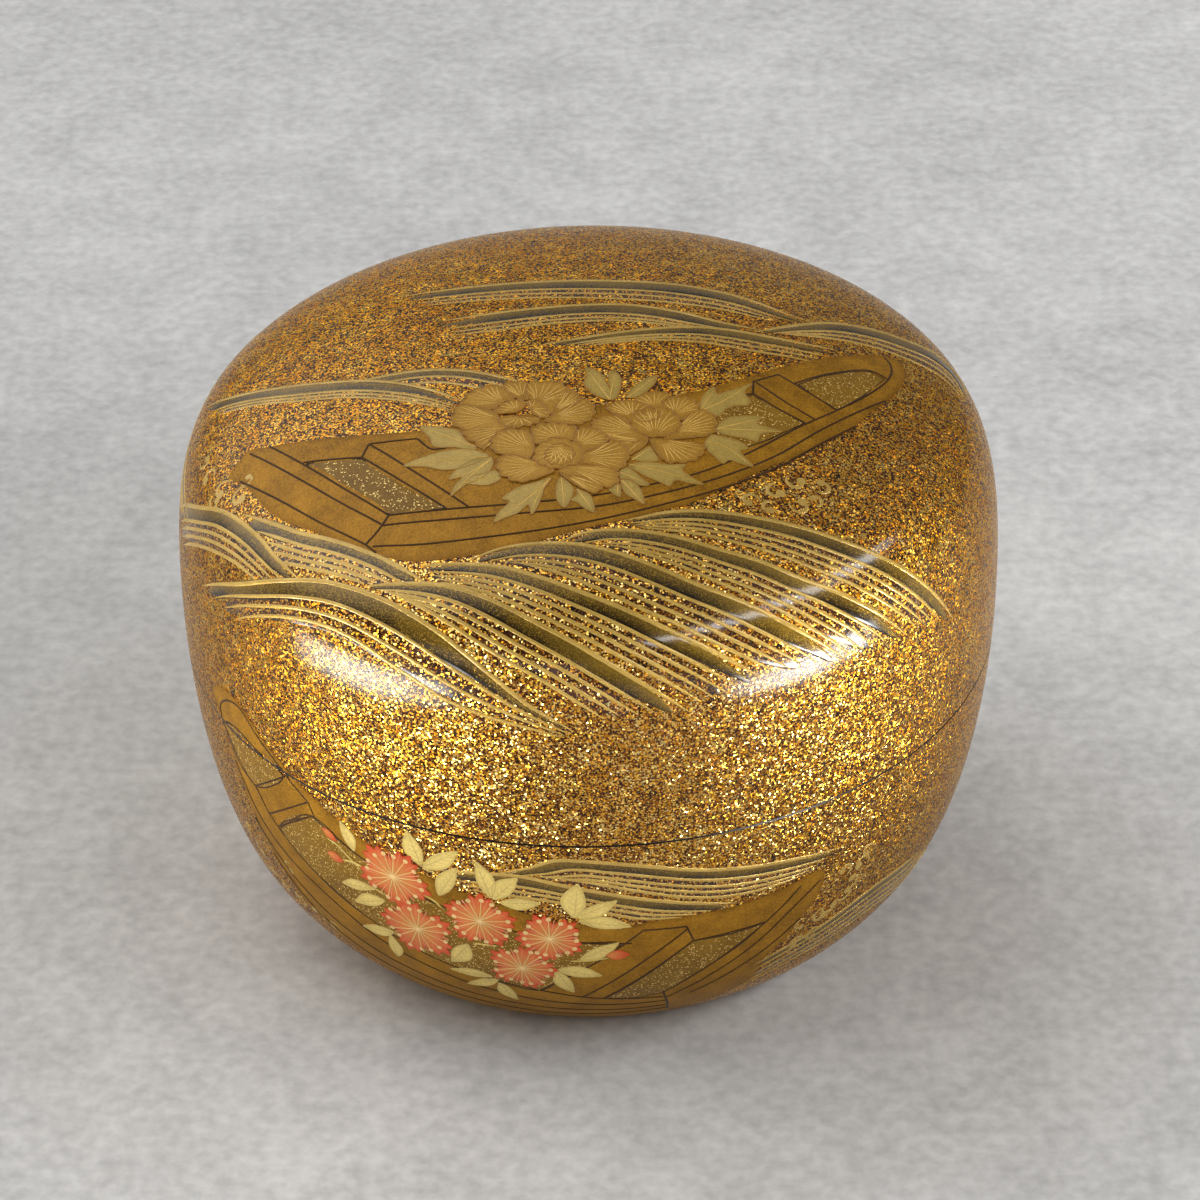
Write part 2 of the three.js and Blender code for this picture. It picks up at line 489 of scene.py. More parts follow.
def runs_of(flat, side):
    """The stretches of a path on one side of the seam: 1 above, -1 below, 0 for all of it."""
    if side == 0:
        return [flat]
    kept = np.flatnonzero(flat[:, 1] * side > SEAM_GAP)
    runs = np.split(kept, np.flatnonzero(np.diff(kept) > 1) + 1)
    return [flat[run] for run in runs if len(run) > 1]


def clipped(area, side):
    """The part of a closed outline that lies on one side of the seam."""
    if side == 0:
        return area
    kept = []
    for here, after in zip(area, np.roll(area, -1, axis=0)):
        inside, next_inside = here[1] * side > SEAM_GAP, after[1] * side > SEAM_GAP
        if inside:
            kept.append(here)
        if inside != next_inside:
            share = (side * SEAM_GAP - here[1]) / (after[1] - here[1])
            kept.append(here + (after - here) * share)
    return np.array(kept)


def keep(piece):
    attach(piece, "root")


class Lines:
    """Collects paths on the lacquer, to be laid in one go as one piece."""

    def __init__(self, place):
        self.place = place
        self.points, self.normals, self.sides, self.widths = [], [], [], []
        self.levels, self.edges = [], []

    def add(self, path, width, taper=(0, 0), level=0.0, spacing=0.6, smooth=True, side=0):
        """One line of that width in mm; taper says over what share of it each end thins."""
        flat = smooth_path(path, spacing) if smooth else np.asarray(path, float)
        for run in runs_of(flat, side):
            self.add_run(run, width, taper, level)

    def add_run(self, flat, width, taper, level):
        points, normals = self.place(flat)
        along = np.gradient(points, axis=0)
        along /= np.linalg.norm(along, axis=1)[:, None]
        steps = np.linalg.norm(np.diff(points, axis=0), axis=1)
        share = np.r_[0, np.cumsum(steps)] / steps.sum()
        swell = np.ones(len(share))
        for from_end, thin in ((share, taper[0]), (1 - share, taper[1])):
            if thin > 0:
                swell = np.minimum(swell, np.sqrt(np.clip(from_end / thin, 0, 1)))
        widths = np.interp(share, np.linspace(0, 1, np.size(width)), np.atleast_1d(width))
        first = len(self.points)
        self.points.extend(points)
        self.normals.extend(normals)
        self.sides.extend(np.cross(normals, along))
        self.widths.extend(np.maximum(widths * swell, LEAST_WIDTH) / 2)
        self.levels.extend([level] * len(points))
        self.edges.extend((first + i, first + i + 1) for i in range(len(points) - 1))

    def lay(self, name, ground, finish, slot="laid_gold", thickness=0.02, section_sides=8):
        if not self.points:
            return
        source = mesh_object(name + "_paths", np.array(self.points) * MM, self.edges)
        add_values(source.data, "half_width", np.array(self.widths) * MM)
        add_values(source.data, "level", np.array(self.levels) * MM)
        add_values(source.data, "surface_normal", self.normals, "FLOAT_VECTOR")
        add_values(source.data, "crest_side", self.sides, "FLOAT_VECTOR")
        piece = run_tree(source, LAYING, {
            "Surface": ground,
            "Thickness": thickness * MM,
            "Section Sides": section_sides,
            "Finish": finish,
        }, name)
        keep(piece)


class Areas:
    """Collects filled outlines on the lacquer, to be laid in one go as closed shells."""

    def __init__(self, place):
        self.place = place
        self.points, self.faces, self.rims, self.hearts = [], [], [], []

    def add(self, outline_points, level, heart=None, reach=1.0, spacing=0.8, smooth=True, side=0):
        """One area at a level in mm; heart and reach say how its tone runs out from a middle."""
        area = np.asarray(outline_points, float)
        if smooth:
            area = smooth_path(area, spacing / 2, closed=True)
        area = clipped(area, side)
        if len(area) < 3:
            return
        turned = np.roll(area, -1, axis=0)
        if np.sum(area[:, 0] * turned[:, 1] - turned[:, 0] * area[:, 1]) < 0:
            area = area[::-1]
        low, high = area.min(0), area.max(0)
        rows = [np.arange(low[i] + GRID_START[i] * spacing, high[i], spacing) for i in (0, 1)]
        grid = np.stack(np.meshgrid(*rows), -1).reshape(-1, 2)
        given = [Vector(p) for p in np.vstack([area, grid])]
        flat, _, faces, *_ = delaunay_2d_cdt(given, [], [list(range(len(area)))], 1, 1e-5)
        used = sorted({corner for face in faces for corner in face})
        place_of = {corner: i for i, corner in enumerate(used)}
        faces = [[place_of[corner] for corner in face] for face in faces]
        flat = np.array([flat[corner] for corner in used])
        points, normals = self.place(flat)
        first, count = len(self.points), len(flat)
        self.points.extend(points + normals * level)
        self.points.extend(points - normals * SUNK)
        directed = {(a, b) for face in faces for a, b in zip(face, face[1:] + face[:1])}
        shell = list(faces) + [[count + corner for corner in face[::-1]] for face in faces]
        shell += [[b, a, count + a, count + b] for a, b in directed if (b, a) not in directed]
        self.faces.extend([first + corner for corner in face] for face in shell)
        rim = np.min(np.linalg.norm(flat[:, None] - area[None], axis=2), axis=1)
        middle = np.mean(area, axis=0) if heart is None else np.array(heart)
        inner = np.linalg.norm(flat - middle, axis=1) / reach
        self.rims.extend(np.r_[rim, rim])
        self.hearts.extend(np.r_[inner, inner])

    def lay(self, name, ground, finish, slot="laid_gold"):
        """Laid by the same call as lines, so it takes their ground too and doesn't need it."""
        if not self.points:
            return
        piece = mesh_object(name, np.array(self.points) * MM, faces=self.faces)
        add_values(piece.data, "rim", self.rims)
        add_values(piece.data, "heart", self.hearts)
        piece.data.shade_smooth()
        piece.data.set_sharp_from_angle(angle=CORNER_ANGLE)
        piece.data.materials.append(finish)
        keep(piece)


class OverSeam:
    """The same decoration above and below the seam, parted where the lid comes off."""

    def __init__(self, kind):
        self.above, self.below = kind(on_side), kind(on_side)

    def add(self, *values, **settings):
        self.above.add(*values, **settings, side=1)
        self.below.add(*values, **settings, side=-1)

    def lay(self, name, finish, **settings):
        self.above.lay(name + "_on_lid", lid, finish, **settings)
        self.below.lay(name + "_on_body", body, finish, **settings)


# Finishes

def colour_ramp(tree, factor, stops):
    ramp = node(tree, "ShaderNodeValToRGB", {"Fac": factor})
    elements = ramp.color_ramp.elements
    while len(elements) < len(stops):
        elements.new(0.5)
    for element, (place, colour) in zip(elements, stops):
        element.position = place
        element.color = (*colour, 1)
    return ramp.outputs["Color"]


def mix_colour(tree, share, first, second, blend="MIX"):
    mixed = node(tree, "ShaderNodeMix", data_type="RGBA", blend_type=blend)
    for socket, value in (("Factor_Float", share), ("A_Color", first), ("B_Color", second)):
        target = next(s for s in mixed.inputs if s.identifier == socket)
        if isinstance(value, bpy.types.NodeSocket):
            tree.links.new(value, target)
        else:
            target.default_value = (*value, 1)
    return next(s for s in mixed.outputs if s.identifier == "Result_Color")


def gold_flakes_group():
    """Flakes of cut gold strewn in lacquer: where they lie, how bright each is, how it leans."""
    tree, given, result = new_group("Gold Flakes", "ShaderNodeTree", [
        ("Flake Size", "Float"), ("Coverage", "Float"), ("Lean", "Float"),
    ], [
        ("Flake", "Float"), ("Shade", "Float"), ("Normal", "Vector"),
    ])
    place = node(tree, "ShaderNodeTexCoord").outputs["Object"]
    per_metre = maths(tree, "DIVIDE", 1 / MM, given["Flake Size"])
    cells = node(tree, "ShaderNodeTexVoronoi", {
        "Vector": vectors(tree, "SCALE", place, Scale=per_metre), "Scale": 1.0, "Randomness": 1.0,
    }, voronoi_dimensions="3D", feature="F1")
    chance = node(tree, "ShaderNodeSeparateColor", {0: cells.outputs["Color"]})
    present = maths(tree, "LESS_THAN", chance.outputs[0], given["Coverage"])
    near = maths(tree, "LESS_THAN", cells.outputs["Distance"], FLAKE_REACH)
    lean = vectors(tree, "SUBTRACT", cells.outputs["Color"], (0.5, 0.5, 0.5))
    upright = node(tree, "ShaderNodeNewGeometry").outputs["Normal"]
    tilted = vectors(tree, "ADD", upright, vectors(tree, "SCALE", lean, Scale=given["Lean"]))
    join(tree, result, {
        "Flake": maths(tree, "MULTIPLY", present, near),
        "Shade": chance.outputs[1],
        "Normal": vectors(tree, "NORMALIZE", tilted),
    })
    return tree


def drift_group():
    """Slow drifts of tone, as hand-sprinkled powder has."""
    tree, given, result = new_group("Drift", "ShaderNodeTree", [
        ("Size", "Float"), ("Detail", "Float"),
    ], [("Tone", "Float")])
    noise = node(tree, "ShaderNodeTexNoise", {
        "Vector": node(tree, "ShaderNodeTexCoord").outputs["Object"],
        "Scale": maths(tree, "DIVIDE", 1 / MM, given["Size"]),
        "Detail": given["Detail"],
    })
    join(tree, result, {"Tone": ranged(tree, noise.outputs[0], start=0.3, end=0.7)})
    return tree


FLAKE_REACH = 0.62
FLAKES = gold_flakes_group()
DRIFT = drift_group()


def flakes_on(tree, size, coverage, lean):
    """Flakes of a size in mm; coverage is the share of them that are there."""
    return node(tree, "ShaderNodeGroup", {
        "Flake Size": size, "Coverage": coverage, "Lean": lean,
    }, node_tree=FLAKES).outputs


def drift_on(tree, size, detail):
    """A tone from 0 to 1 that drifts over a size in mm."""
    return node(tree, "ShaderNodeGroup", {
        "Size": size, "Detail": detail,
    }, node_tree=DRIFT).outputs["Tone"]


def value_on(tree, name):
    return node(tree, "ShaderNodeAttribute", attribute_name=name).outputs["Fac"]


# The clear polished lacquer over everything, and the gold tint of its glancing light
COAT_ROUGHNESS, COAT_IOR = 0.14, 1.55
GLANCE_LEVEL, GLANCE_TINT = 0.08, (1.0, 0.72, 0.25, 1)


def new_material(name):
    material = bpy.data.materials.new(name)
    material.use_nodes = True
    shader = next(n for n in material.node_tree.nodes if n.type == "BSDF_PRINCIPLED")
    return material, material.node_tree, shader


def finish(name, coat=0.45):
    """A material under clear lacquer of that weight; returns its tree and shader too."""
    material, tree, shader = new_material(name)
    join(tree, shader, {
        "Coat Weight": coat,
        "Coat Roughness": COAT_ROUGHNESS,
        "Coat IOR": COAT_IOR,
        "Specular IOR Level": GLANCE_LEVEL,
        "Specular Tint": GLANCE_TINT,
    })
    return material, tree, shader


def nashiji(name, coverage, fine_coverage, coat):
    """Gold flakes strewn in amber lacquer over a dark ground."""
    material, tree, shader = finish(name, coat)
    flakes = flakes_on(tree, size=0.18, coverage=coverage, lean=0.8)
    fine = flakes_on(tree, size=0.13, coverage=fine_coverage, lean=0.9)
    warm = drift_on(tree, size=7.0, detail=3.0)
    patch = drift_on(tree, size=1.6, detail=2.0)
    gold = colour_ramp(tree, weighed(tree, (flakes["Shade"], 0.7), (patch, 0.3)), [
        (0.0, (0.05, 0.012, 0.001)),
        (0.27, (0.46, 0.16, 0.004)),
        (0.5, (1.0, 0.53, 0.04)),
        (1.0, (1.0, 0.92, 0.42)),
    ])
    reddened = mix_colour(tree, maths(tree, "MULTIPLY", warm, 0.3), gold, (0.60, 0.18, 0.008))
    ground = mix_colour(tree, patch, (0.004, 0.002, 0.001), (0.06, 0.014, 0.002))
    dust = maths(tree, "MULTIPLY", fine["Flake"], 0.6)
    powdered = mix_colour(tree, dust, ground, (0.5, 0.2, 0.03))
    fine_metal = maths(tree, "MULTIPLY", fine["Flake"], 0.7)
    join(tree, shader, {
        "Base Color": mix_colour(tree, flakes["Flake"], powdered, reddened),
        "Metallic": maths(tree, "MAXIMUM", flakes["Flake"], fine_metal),
        "Roughness": ranged(tree, flakes["Shade"], low=0.42, high=0.26),
        "Normal": flakes["Normal"],
    })
    return material


def plain_lacquer(name, colour, lighter, coat=0.45):
    """Plain coloured lacquer, with the faint unevenness of hand polishing."""
    material, tree, shader = finish(name, coat)
    tone = drift_on(tree, size=6.0, detail=4.0)
    join(tree, shader, {
        "Base Color": mix_colour(tree, tone, colour, lighter),
        "Roughness": ranged(tree, tone, low=0.3, high=0.4),
    })
    return material


def laid_gold(name, deep, bright, coat):
    """Gold powder dusted on wet lacquer: an even metal tone with a fine grain."""
    material, tree, shader = finish(name, coat)
    grain = flakes_on(tree, size=0.11, coverage=0.5, lean=0.35)
    drift = drift_on(tree, size=3.0, detail=3.0)
    tone = weighed(tree, (grain["Shade"], 0.35), (drift, 0.65))
    join(tree, shader, {
        "Base Color": mix_colour(tree, tone, deep, bright),
        "Metallic": 0.4,
        "Roughness": ranged(tree, tone, low=0.5, high=0.36),
        "Normal": grain["Normal"],
    })
    return material


def powdered_band(name, dark, olive, powder):
    """A wave's hollow: olive gold powder thick under the crest, thinning into black lacquer."""
    material, tree, shader = finish(name, coat=0.7)
    drift = maths(tree, "SUBTRACT", drift_on(tree, size=7.0, detail=3.0), 0.5)
    uneven = weighed(tree, (value_on(tree, "across"), 1.0), (drift, 0.9))
    thick = ranged(tree, uneven, start=-0.9, high=0.85)
    grain = flakes_on(tree, size=0.09, coverage=thick, lean=0.4)
    base = mix_colour(tree, thick, dark, olive)
    lit = mix_colour(tree, grain["Shade"], olive, powder)
    join(tree, shader, {
        "Base Color": mix_colour(tree, grain["Flake"], base, lit),
        "Metallic": maths(tree, "MULTIPLY", grain["Flake"], 0.7),
        "Roughness": 0.4,
        "Normal": grain["Normal"],
    })
    return material


def toned(name, middle, edge, edge_width, far=None, metallic=0.35, grain=0.3, drift=0.25,
          coat=0.4):
    """Powdered lacquer, darker towards its outline and, where far is given, changing away from
    its heart; grain and drift say how much the fine and the slow unevenness darken it."""
    material, tree, shader = finish(name, coat)
    speck = flakes_on(tree, size=0.12, coverage=0.5, lean=0.25)
    inwards = ranged(tree, value_on(tree, "rim"), end=edge_width)
    colour = mix_colour(tree, inwards, edge, middle)
    if far is not None:
        outwards = ranged(tree, value_on(tree, "heart"), start=0.25)
        colour = mix_colour(tree, outwards, colour, far)
    tone = weighed(tree, (speck["Shade"], grain), (drift_on(tree, size=2.6, detail=4.0), drift))
    shade = maths(tree, "MULTIPLY", tone, 0.8)
    join(tree, shader, {
        "Base Color": mix_colour(tree, shade, colour, (0.25, 0.22, 0.18), "MULTIPLY"),
        "Metallic": metallic,
        "Roughness": ranged(tree, tone, low=0.5, high=0.38),
        "Normal": speck["Normal"],
    })
    return material


DUST_LIGHTER = 1.35


def sprinkled(name, ground, olive, fleck):
    """Olive lacquer with a thin scatter of pale metal flecks."""
    material, tree, shader = finish(name, coat=0.25)
    powder = flakes_on(tree, size=0.11, coverage=0.4, lean=0.4)
    flecks = flakes_on(tree, size=0.125, coverage=0.09, lean=0.4)
    base = mix_colour(tree, drift_on(tree, size=3.5, detail=4.0), ground, olive)
    dust = maths(tree, "MULTIPLY", powder["Flake"], powder["Shade"])
    dusted = mix_colour(tree, dust, base, tuple(DUST_LIGHTER * c for c in olive))
    join(tree, shader, {
        "Base Color": mix_colour(tree, flecks["Flake"], dusted, fleck),
        "Metallic": maths(tree, "MULTIPLY", flecks["Flake"], 0.6),
        "Roughness": 0.42,
        "Normal": flecks["Normal"],
    })
    return material


NASHIJI = nashiji("nashiji_gold_flakes", coverage=0.68, fine_coverage=0.3, coat=0.32)
SPARSE_NASHIJI = nashiji("sparse_gold_flakes", coverage=0.4, fine_coverage=0.16, coat=0.8)
BLACK = plain_lacquer("black_lacquer", (0.008, 0.006, 0.005), (0.02, 0.015, 0.012))
WAVE_GOLD = laid_gold("wave_line_gold", (0.38, 0.235, 0.045), (0.56, 0.37, 0.09), coat=0.6)
WAVE_HOLLOW = powdered_band("wave_hollow_powder", (0.006, 0.003, 0.001), (0.17, 0.095, 0.010),
                            (0.30, 0.18, 0.02))
BOAT_GOLD = toned("boat_matt_gold", (0.42, 0.20, 0.016), (0.32, 0.145, 0.010), edge_width=0.8,
                  grain=0.6, drift=0.5, coat=0.15)
DARK_LINE = plain_lacquer("plank_line_lacquer", (0.03, 0.013, 0.004), (0.055, 0.024, 0.007),
                          coat=0.1)
SPRINKLED = sprinkled("boat_well_flecks", (0.14, 0.068, 0.005), (0.21, 0.108, 0.008),
                      (0.82, 0.58, 0.2))
PEONY = toned("peony_gold", (0.45, 0.24, 0.036), (0.37, 0.185, 0.023), edge_width=0.5, coat=0.25)
PETAL_LINE = plain_lacquer("petal_outline_lacquer", (0.25, 0.11, 0.01), (0.33, 0.15, 0.016))
PALE_LINE = laid_gold("pale_ray_gold", (0.56, 0.33, 0.055), (0.70, 0.43, 0.10), coat=0.5)
LID_LEAF = toned("peony_leaf_olive_gold", (0.47, 0.32, 0.075), (0.38, 0.25, 0.05), edge_width=0.4)
SIDE_LEAF = toned("side_leaf_green_gold", (0.84, 0.64, 0.2), (0.66, 0.49, 0.13), edge_width=0.35)
LEAF_LINE = plain_lacquer("leaf_line_lacquer", (0.46, 0.33, 0.1), (0.56, 0.41, 0.13))
BLOSSOM_RED = toned("blossom_red_lacquer", (0.60, 0.22, 0.05), (0.52, 0.11, 0.028), edge_width=0.3,
                    far=(0.57, 0.07, 0.02), metallic=0.0, grain=0.15)
BLOSSOM_LINE = plain_lacquer("blossom_line_lacquer", (0.70, 0.26, 0.13), (0.60, 0.16, 0.08))
CREAM = toned("stamen_cream", (0.86, 0.62, 0.28), (0.70, 0.46, 0.18), edge_width=0.12,
              metallic=0.2, grain=0.1)

lid = turned_piece("lid_lacquer", lid_section(), NASHIJI, BLACK)
body = turned_piece("body_lacquer", body_section(), NASHIJI, BLACK)
for piece, cad_node in ((lid, "lid"), (body, "body")):
    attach(piece, "root")
    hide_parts(cad_node)


# Where the decoration lies: on the lid (right, back) from the crown, on the side (right, up) from
# the middle of the seam's front. Points give both measures in turn, in tenths of a millimetre.

def points(*tenths):
    return [tuple(pair) for pair in np.reshape(tenths, (-1, 2)) / 10]


# Waves: the crest's path, the path of the last line, and the shares of the way between them at
# which lines run; the first share is the lower edge of the powdered hollow.

LID_WAVES = [
    (points(-467, -48, -408, -119, -372, -155, -350, -183, -329, -215, -312, -247, -288, -284),
     points(-476, -101, -415, -167, -382, -204, -362, -229, -343, -257),
     (0.39, 0.59, 0.79, 1)),
    (points(-345, -178, -314, -206, -281, -234, -250, -254, -220, -275, -190, -298, -154, -330),
     points(-307, -255, -274, -277, -243, -296, -218, -313),
     (0.38, 0.6, 0.8, 1)),
    (points(-449, -189, -371, -244, -312, -273, -265, -294, -239, -309, -204, -332, -175, -355,
         -147, -380, -120, -408, -93, -436, -65, -462, -18, -492),
     points(-403, -265, -358, -288, -301, -319, -267, -341, -236, -367, -209, -395, -181, -422,
         -158, -443, -111, -469, -33, -497),
     (0.4, 0.7, 1)),
    (points(-218, -316, -182, -323, -142, -333, -113, -345, -85, -361, -47, -385, -19, -401,
         10, -418, 51, -440, 109, -467),
     points(-188, -333, -154, -358, -117, -389, -89, -411, -51, -436, -21, -456, 12, -477),
     (0.39, 0.6, 0.8, 1)),
    (points(-161, -309, -122, -314, -84, -322, -46, -337, -8, -354, 30, -370, 69, -386, 99, -397,
         131, -407, 183, -422),
     points(-142, -330, -104, -345, -66, -365, -28, -386, 10, -406, 51, -426, 119, -455),
     (0.39, 0.6, 0.8, 1)),
    (points(-115, -312, -83, -302, -45, -299, -8, -302, 30, -313, 68, -328, 106, -343, 146, -353,
         189, -364, 280, -379),
     points(-65, -320, -27, -334, 11, -352, 49, -370, 88, -384, 130, -398, 196, -413),
     (0.39, 0.6, 0.8, 1)),
    (points(-26, -298, 2, -287, 31, -285, 59, -287, 87, -292, 126, -302, 165, -309, 205, -318,
         249, -321, 306, -322, 358, -322),
     points(30, -305, 59, -314, 87, -324, 126, -338, 166, -349, 211, -360, 284, -372),
     (0.39, 0.6, 0.8, 1)),
    (points(32, -274, 50, -269, 69, -263, 97, -258, 126, -257, 164, -259, 203, -262, 244, -266,
         288, -268, 330, -267, 379, -264, 434, -259),
     points(49, -282, 68, -283, 106, -286, 145, -292, 184, -298, 225, -305, 271, -308, 315, -309,
         371, -307),
     (0.39, 0.6, 0.8, 1)),
    (points(-186, 134, -136, 136, -85, 138, -25, 139, 36, 137, 96, 131, 156, 112, 205, 83, 227, 73),
     points(-160, 104, -114, 104, -64, 103, 15, 98, 75, 92, 135, 81, 184, 65),
     (0.5, 0.75, 1)),
    (points(-144, 65, -104, 71, -55, 78, -5, 83, 45, 83, 94, 70, 134, 53, 173, 43),
     points(-134, 34, -85, 38, -25, 47, 34, 50, 75, 44, 105, 36),
     (0.55, 0.8, 1)),
    (points(-44, 4, -5, 15, 45, 29, 104, 40, 144, 38, 182, 31, 222, 25, 248, 23),
     points(4, 1, 54, 11, 113, 11, 162, 1, 201, -4, 224, -8),
     (0.5, 0.75, 1)),
    (points(168, 38, 204, 59, 246, 80, 288, 88, 331, 91, 369, 98, 394, 80, 398, 40),
     points(203, 40, 243, 46, 285, 48, 328, 45, 362, 41, 389, 25),
     (0.5, 0.75, 1)),
    (points(-399, 44, -362, 19, -316, -2, -262, -19, -211, -33, -171, -51, -141, -71, -120, -88),
     points(-376, -2, -336, -19, -282, -42, -231, -56, -181, -75, -151, -90, -129, -103),
     (0.6, 0.8, 1)),
    (points(-231, -32, -191, -28, -152, -28, -113, -37, -74, -56, -59, -65),
     points(-172, -49, -143, -52, -112, -64, -91, -76),
     (0.5, 1)),
]

SIDE_WAVES = [
    (points(-89, -39, -60, -29, -36, -18, 6, -20, 53, -29, 102, -42, 152, -52, 207, -61, 258, -70),
     points(-32, -40, 6, -48, 44, -60, 83, -73, 123, -83, 165, -87, 209, -86),
     (0.36, 0.6, 0.8, 1)),
    (points(-149, -49, -108, -43, -70, -41, -32, -49, 6, -59, 44, -70, 93, -84, 142, -97),
     points(-120, -67, -71, -68, -32, -73, 6, -85, 44, -97, 86, -102),
     (0.5, 0.75, 1)),
    (points(173, -209, 204, -196, 246, -184, 290, -170, 333, -163, 409, -171),
     points(177, -257, 228, -230, 280, -219, 338, -208, 417, -218, 456, -200),
     (0.25, 0.5, 0.75, 1)),
]

# The boat on the lid

LID_BOAT_HULL = points(-336, -96, -312, -103, -278, -111, -240, -119, -200, -126, -162, -130,
    -112, -128, -63, -119, -25, -116, 23, -104, 71, -93, 110, -79, 149, -55, 190, -27, 227, -3,
    262, 17, 295, 32, 312, 32, 319, 18, 317, -6, 304, -40, 281, -75, 260, -109, 236, -135,
    211, -161, 183, -184, 146, -212, 100, -247, 59, -264, 12, -279, -26, -290, -64, -301,
    -103, -306, -141, -306, -176, -300, -205, -285, -240, -261, -270, -236, -297, -213, -315, -191,
    -328, -167, -340, -144, -359, -118, -348, -105)

LID_BOAT_WELLS = [
    points(-273, -147, -218, -159, -136, -245, -188, -243),
    points(207, -54, 230, -34, 261, -15, 282, -6, 296, -14, 271, -56, 245, -87),
    points(115, -133, 151, -86, 161, -81, 210, -118, 176, -149, 142, -173),
]

LID_BOAT_PLANKS = [
    points(-312, -103, -279, -143, -234, -196, -190, -243),
    points(-334, -101, -279, -167, -239, -212, -198, -252),
    points(-346, -134, -302, -184, -260, -230, -214, -272),
    points(-190, -243, -201, -259, -214, -272),
    points(-214, -272, -204, -284),
    points(-276, -144, -217, -157),
    points(-217, -157, -210, -139),
    points(-210, -139, -163, -142),
    points(-163, -142, -148, -161, -134, -161),
    points(-217, -157, -179, -199, -134, -246),
    points(-210, -139, -160, -196, -113, -247),
    points(-190, -243, -131, -247, -64, -248, 3, -242, 60, -226, 108, -206, 157, -171, 206, -124,
        244, -88, 275, -53, 298, -17, 305, 6, 304, 21, 299, 30),
    points(-196, -254, -131, -260, -64, -261, 12, -255, 69, -238, 127, -211, 180, -174, 226, -125,
        267, -82, 295, -53),
    points(-207, -276, -160, -285, -102, -287, -45, -283, 12, -272, 69, -253, 126, -227, 181, -190,
        235, -136, 263, -107),
    points(152, -81, 162, -78),
    points(162, -78, 163, -57),
    points(163, -57, 188, -40),
    points(188, -40, 203, -53, 244, -88),
    points(166, -58, 193, -86, 223, -110),
    points(162, -78, 187, -100, 213, -118),
    points(203, -53, 230, -32, 261, -13, 282, -4, 299, -11),
]

# Peonies on the lid, the one behind first: the heart, then the petals from the back to the front

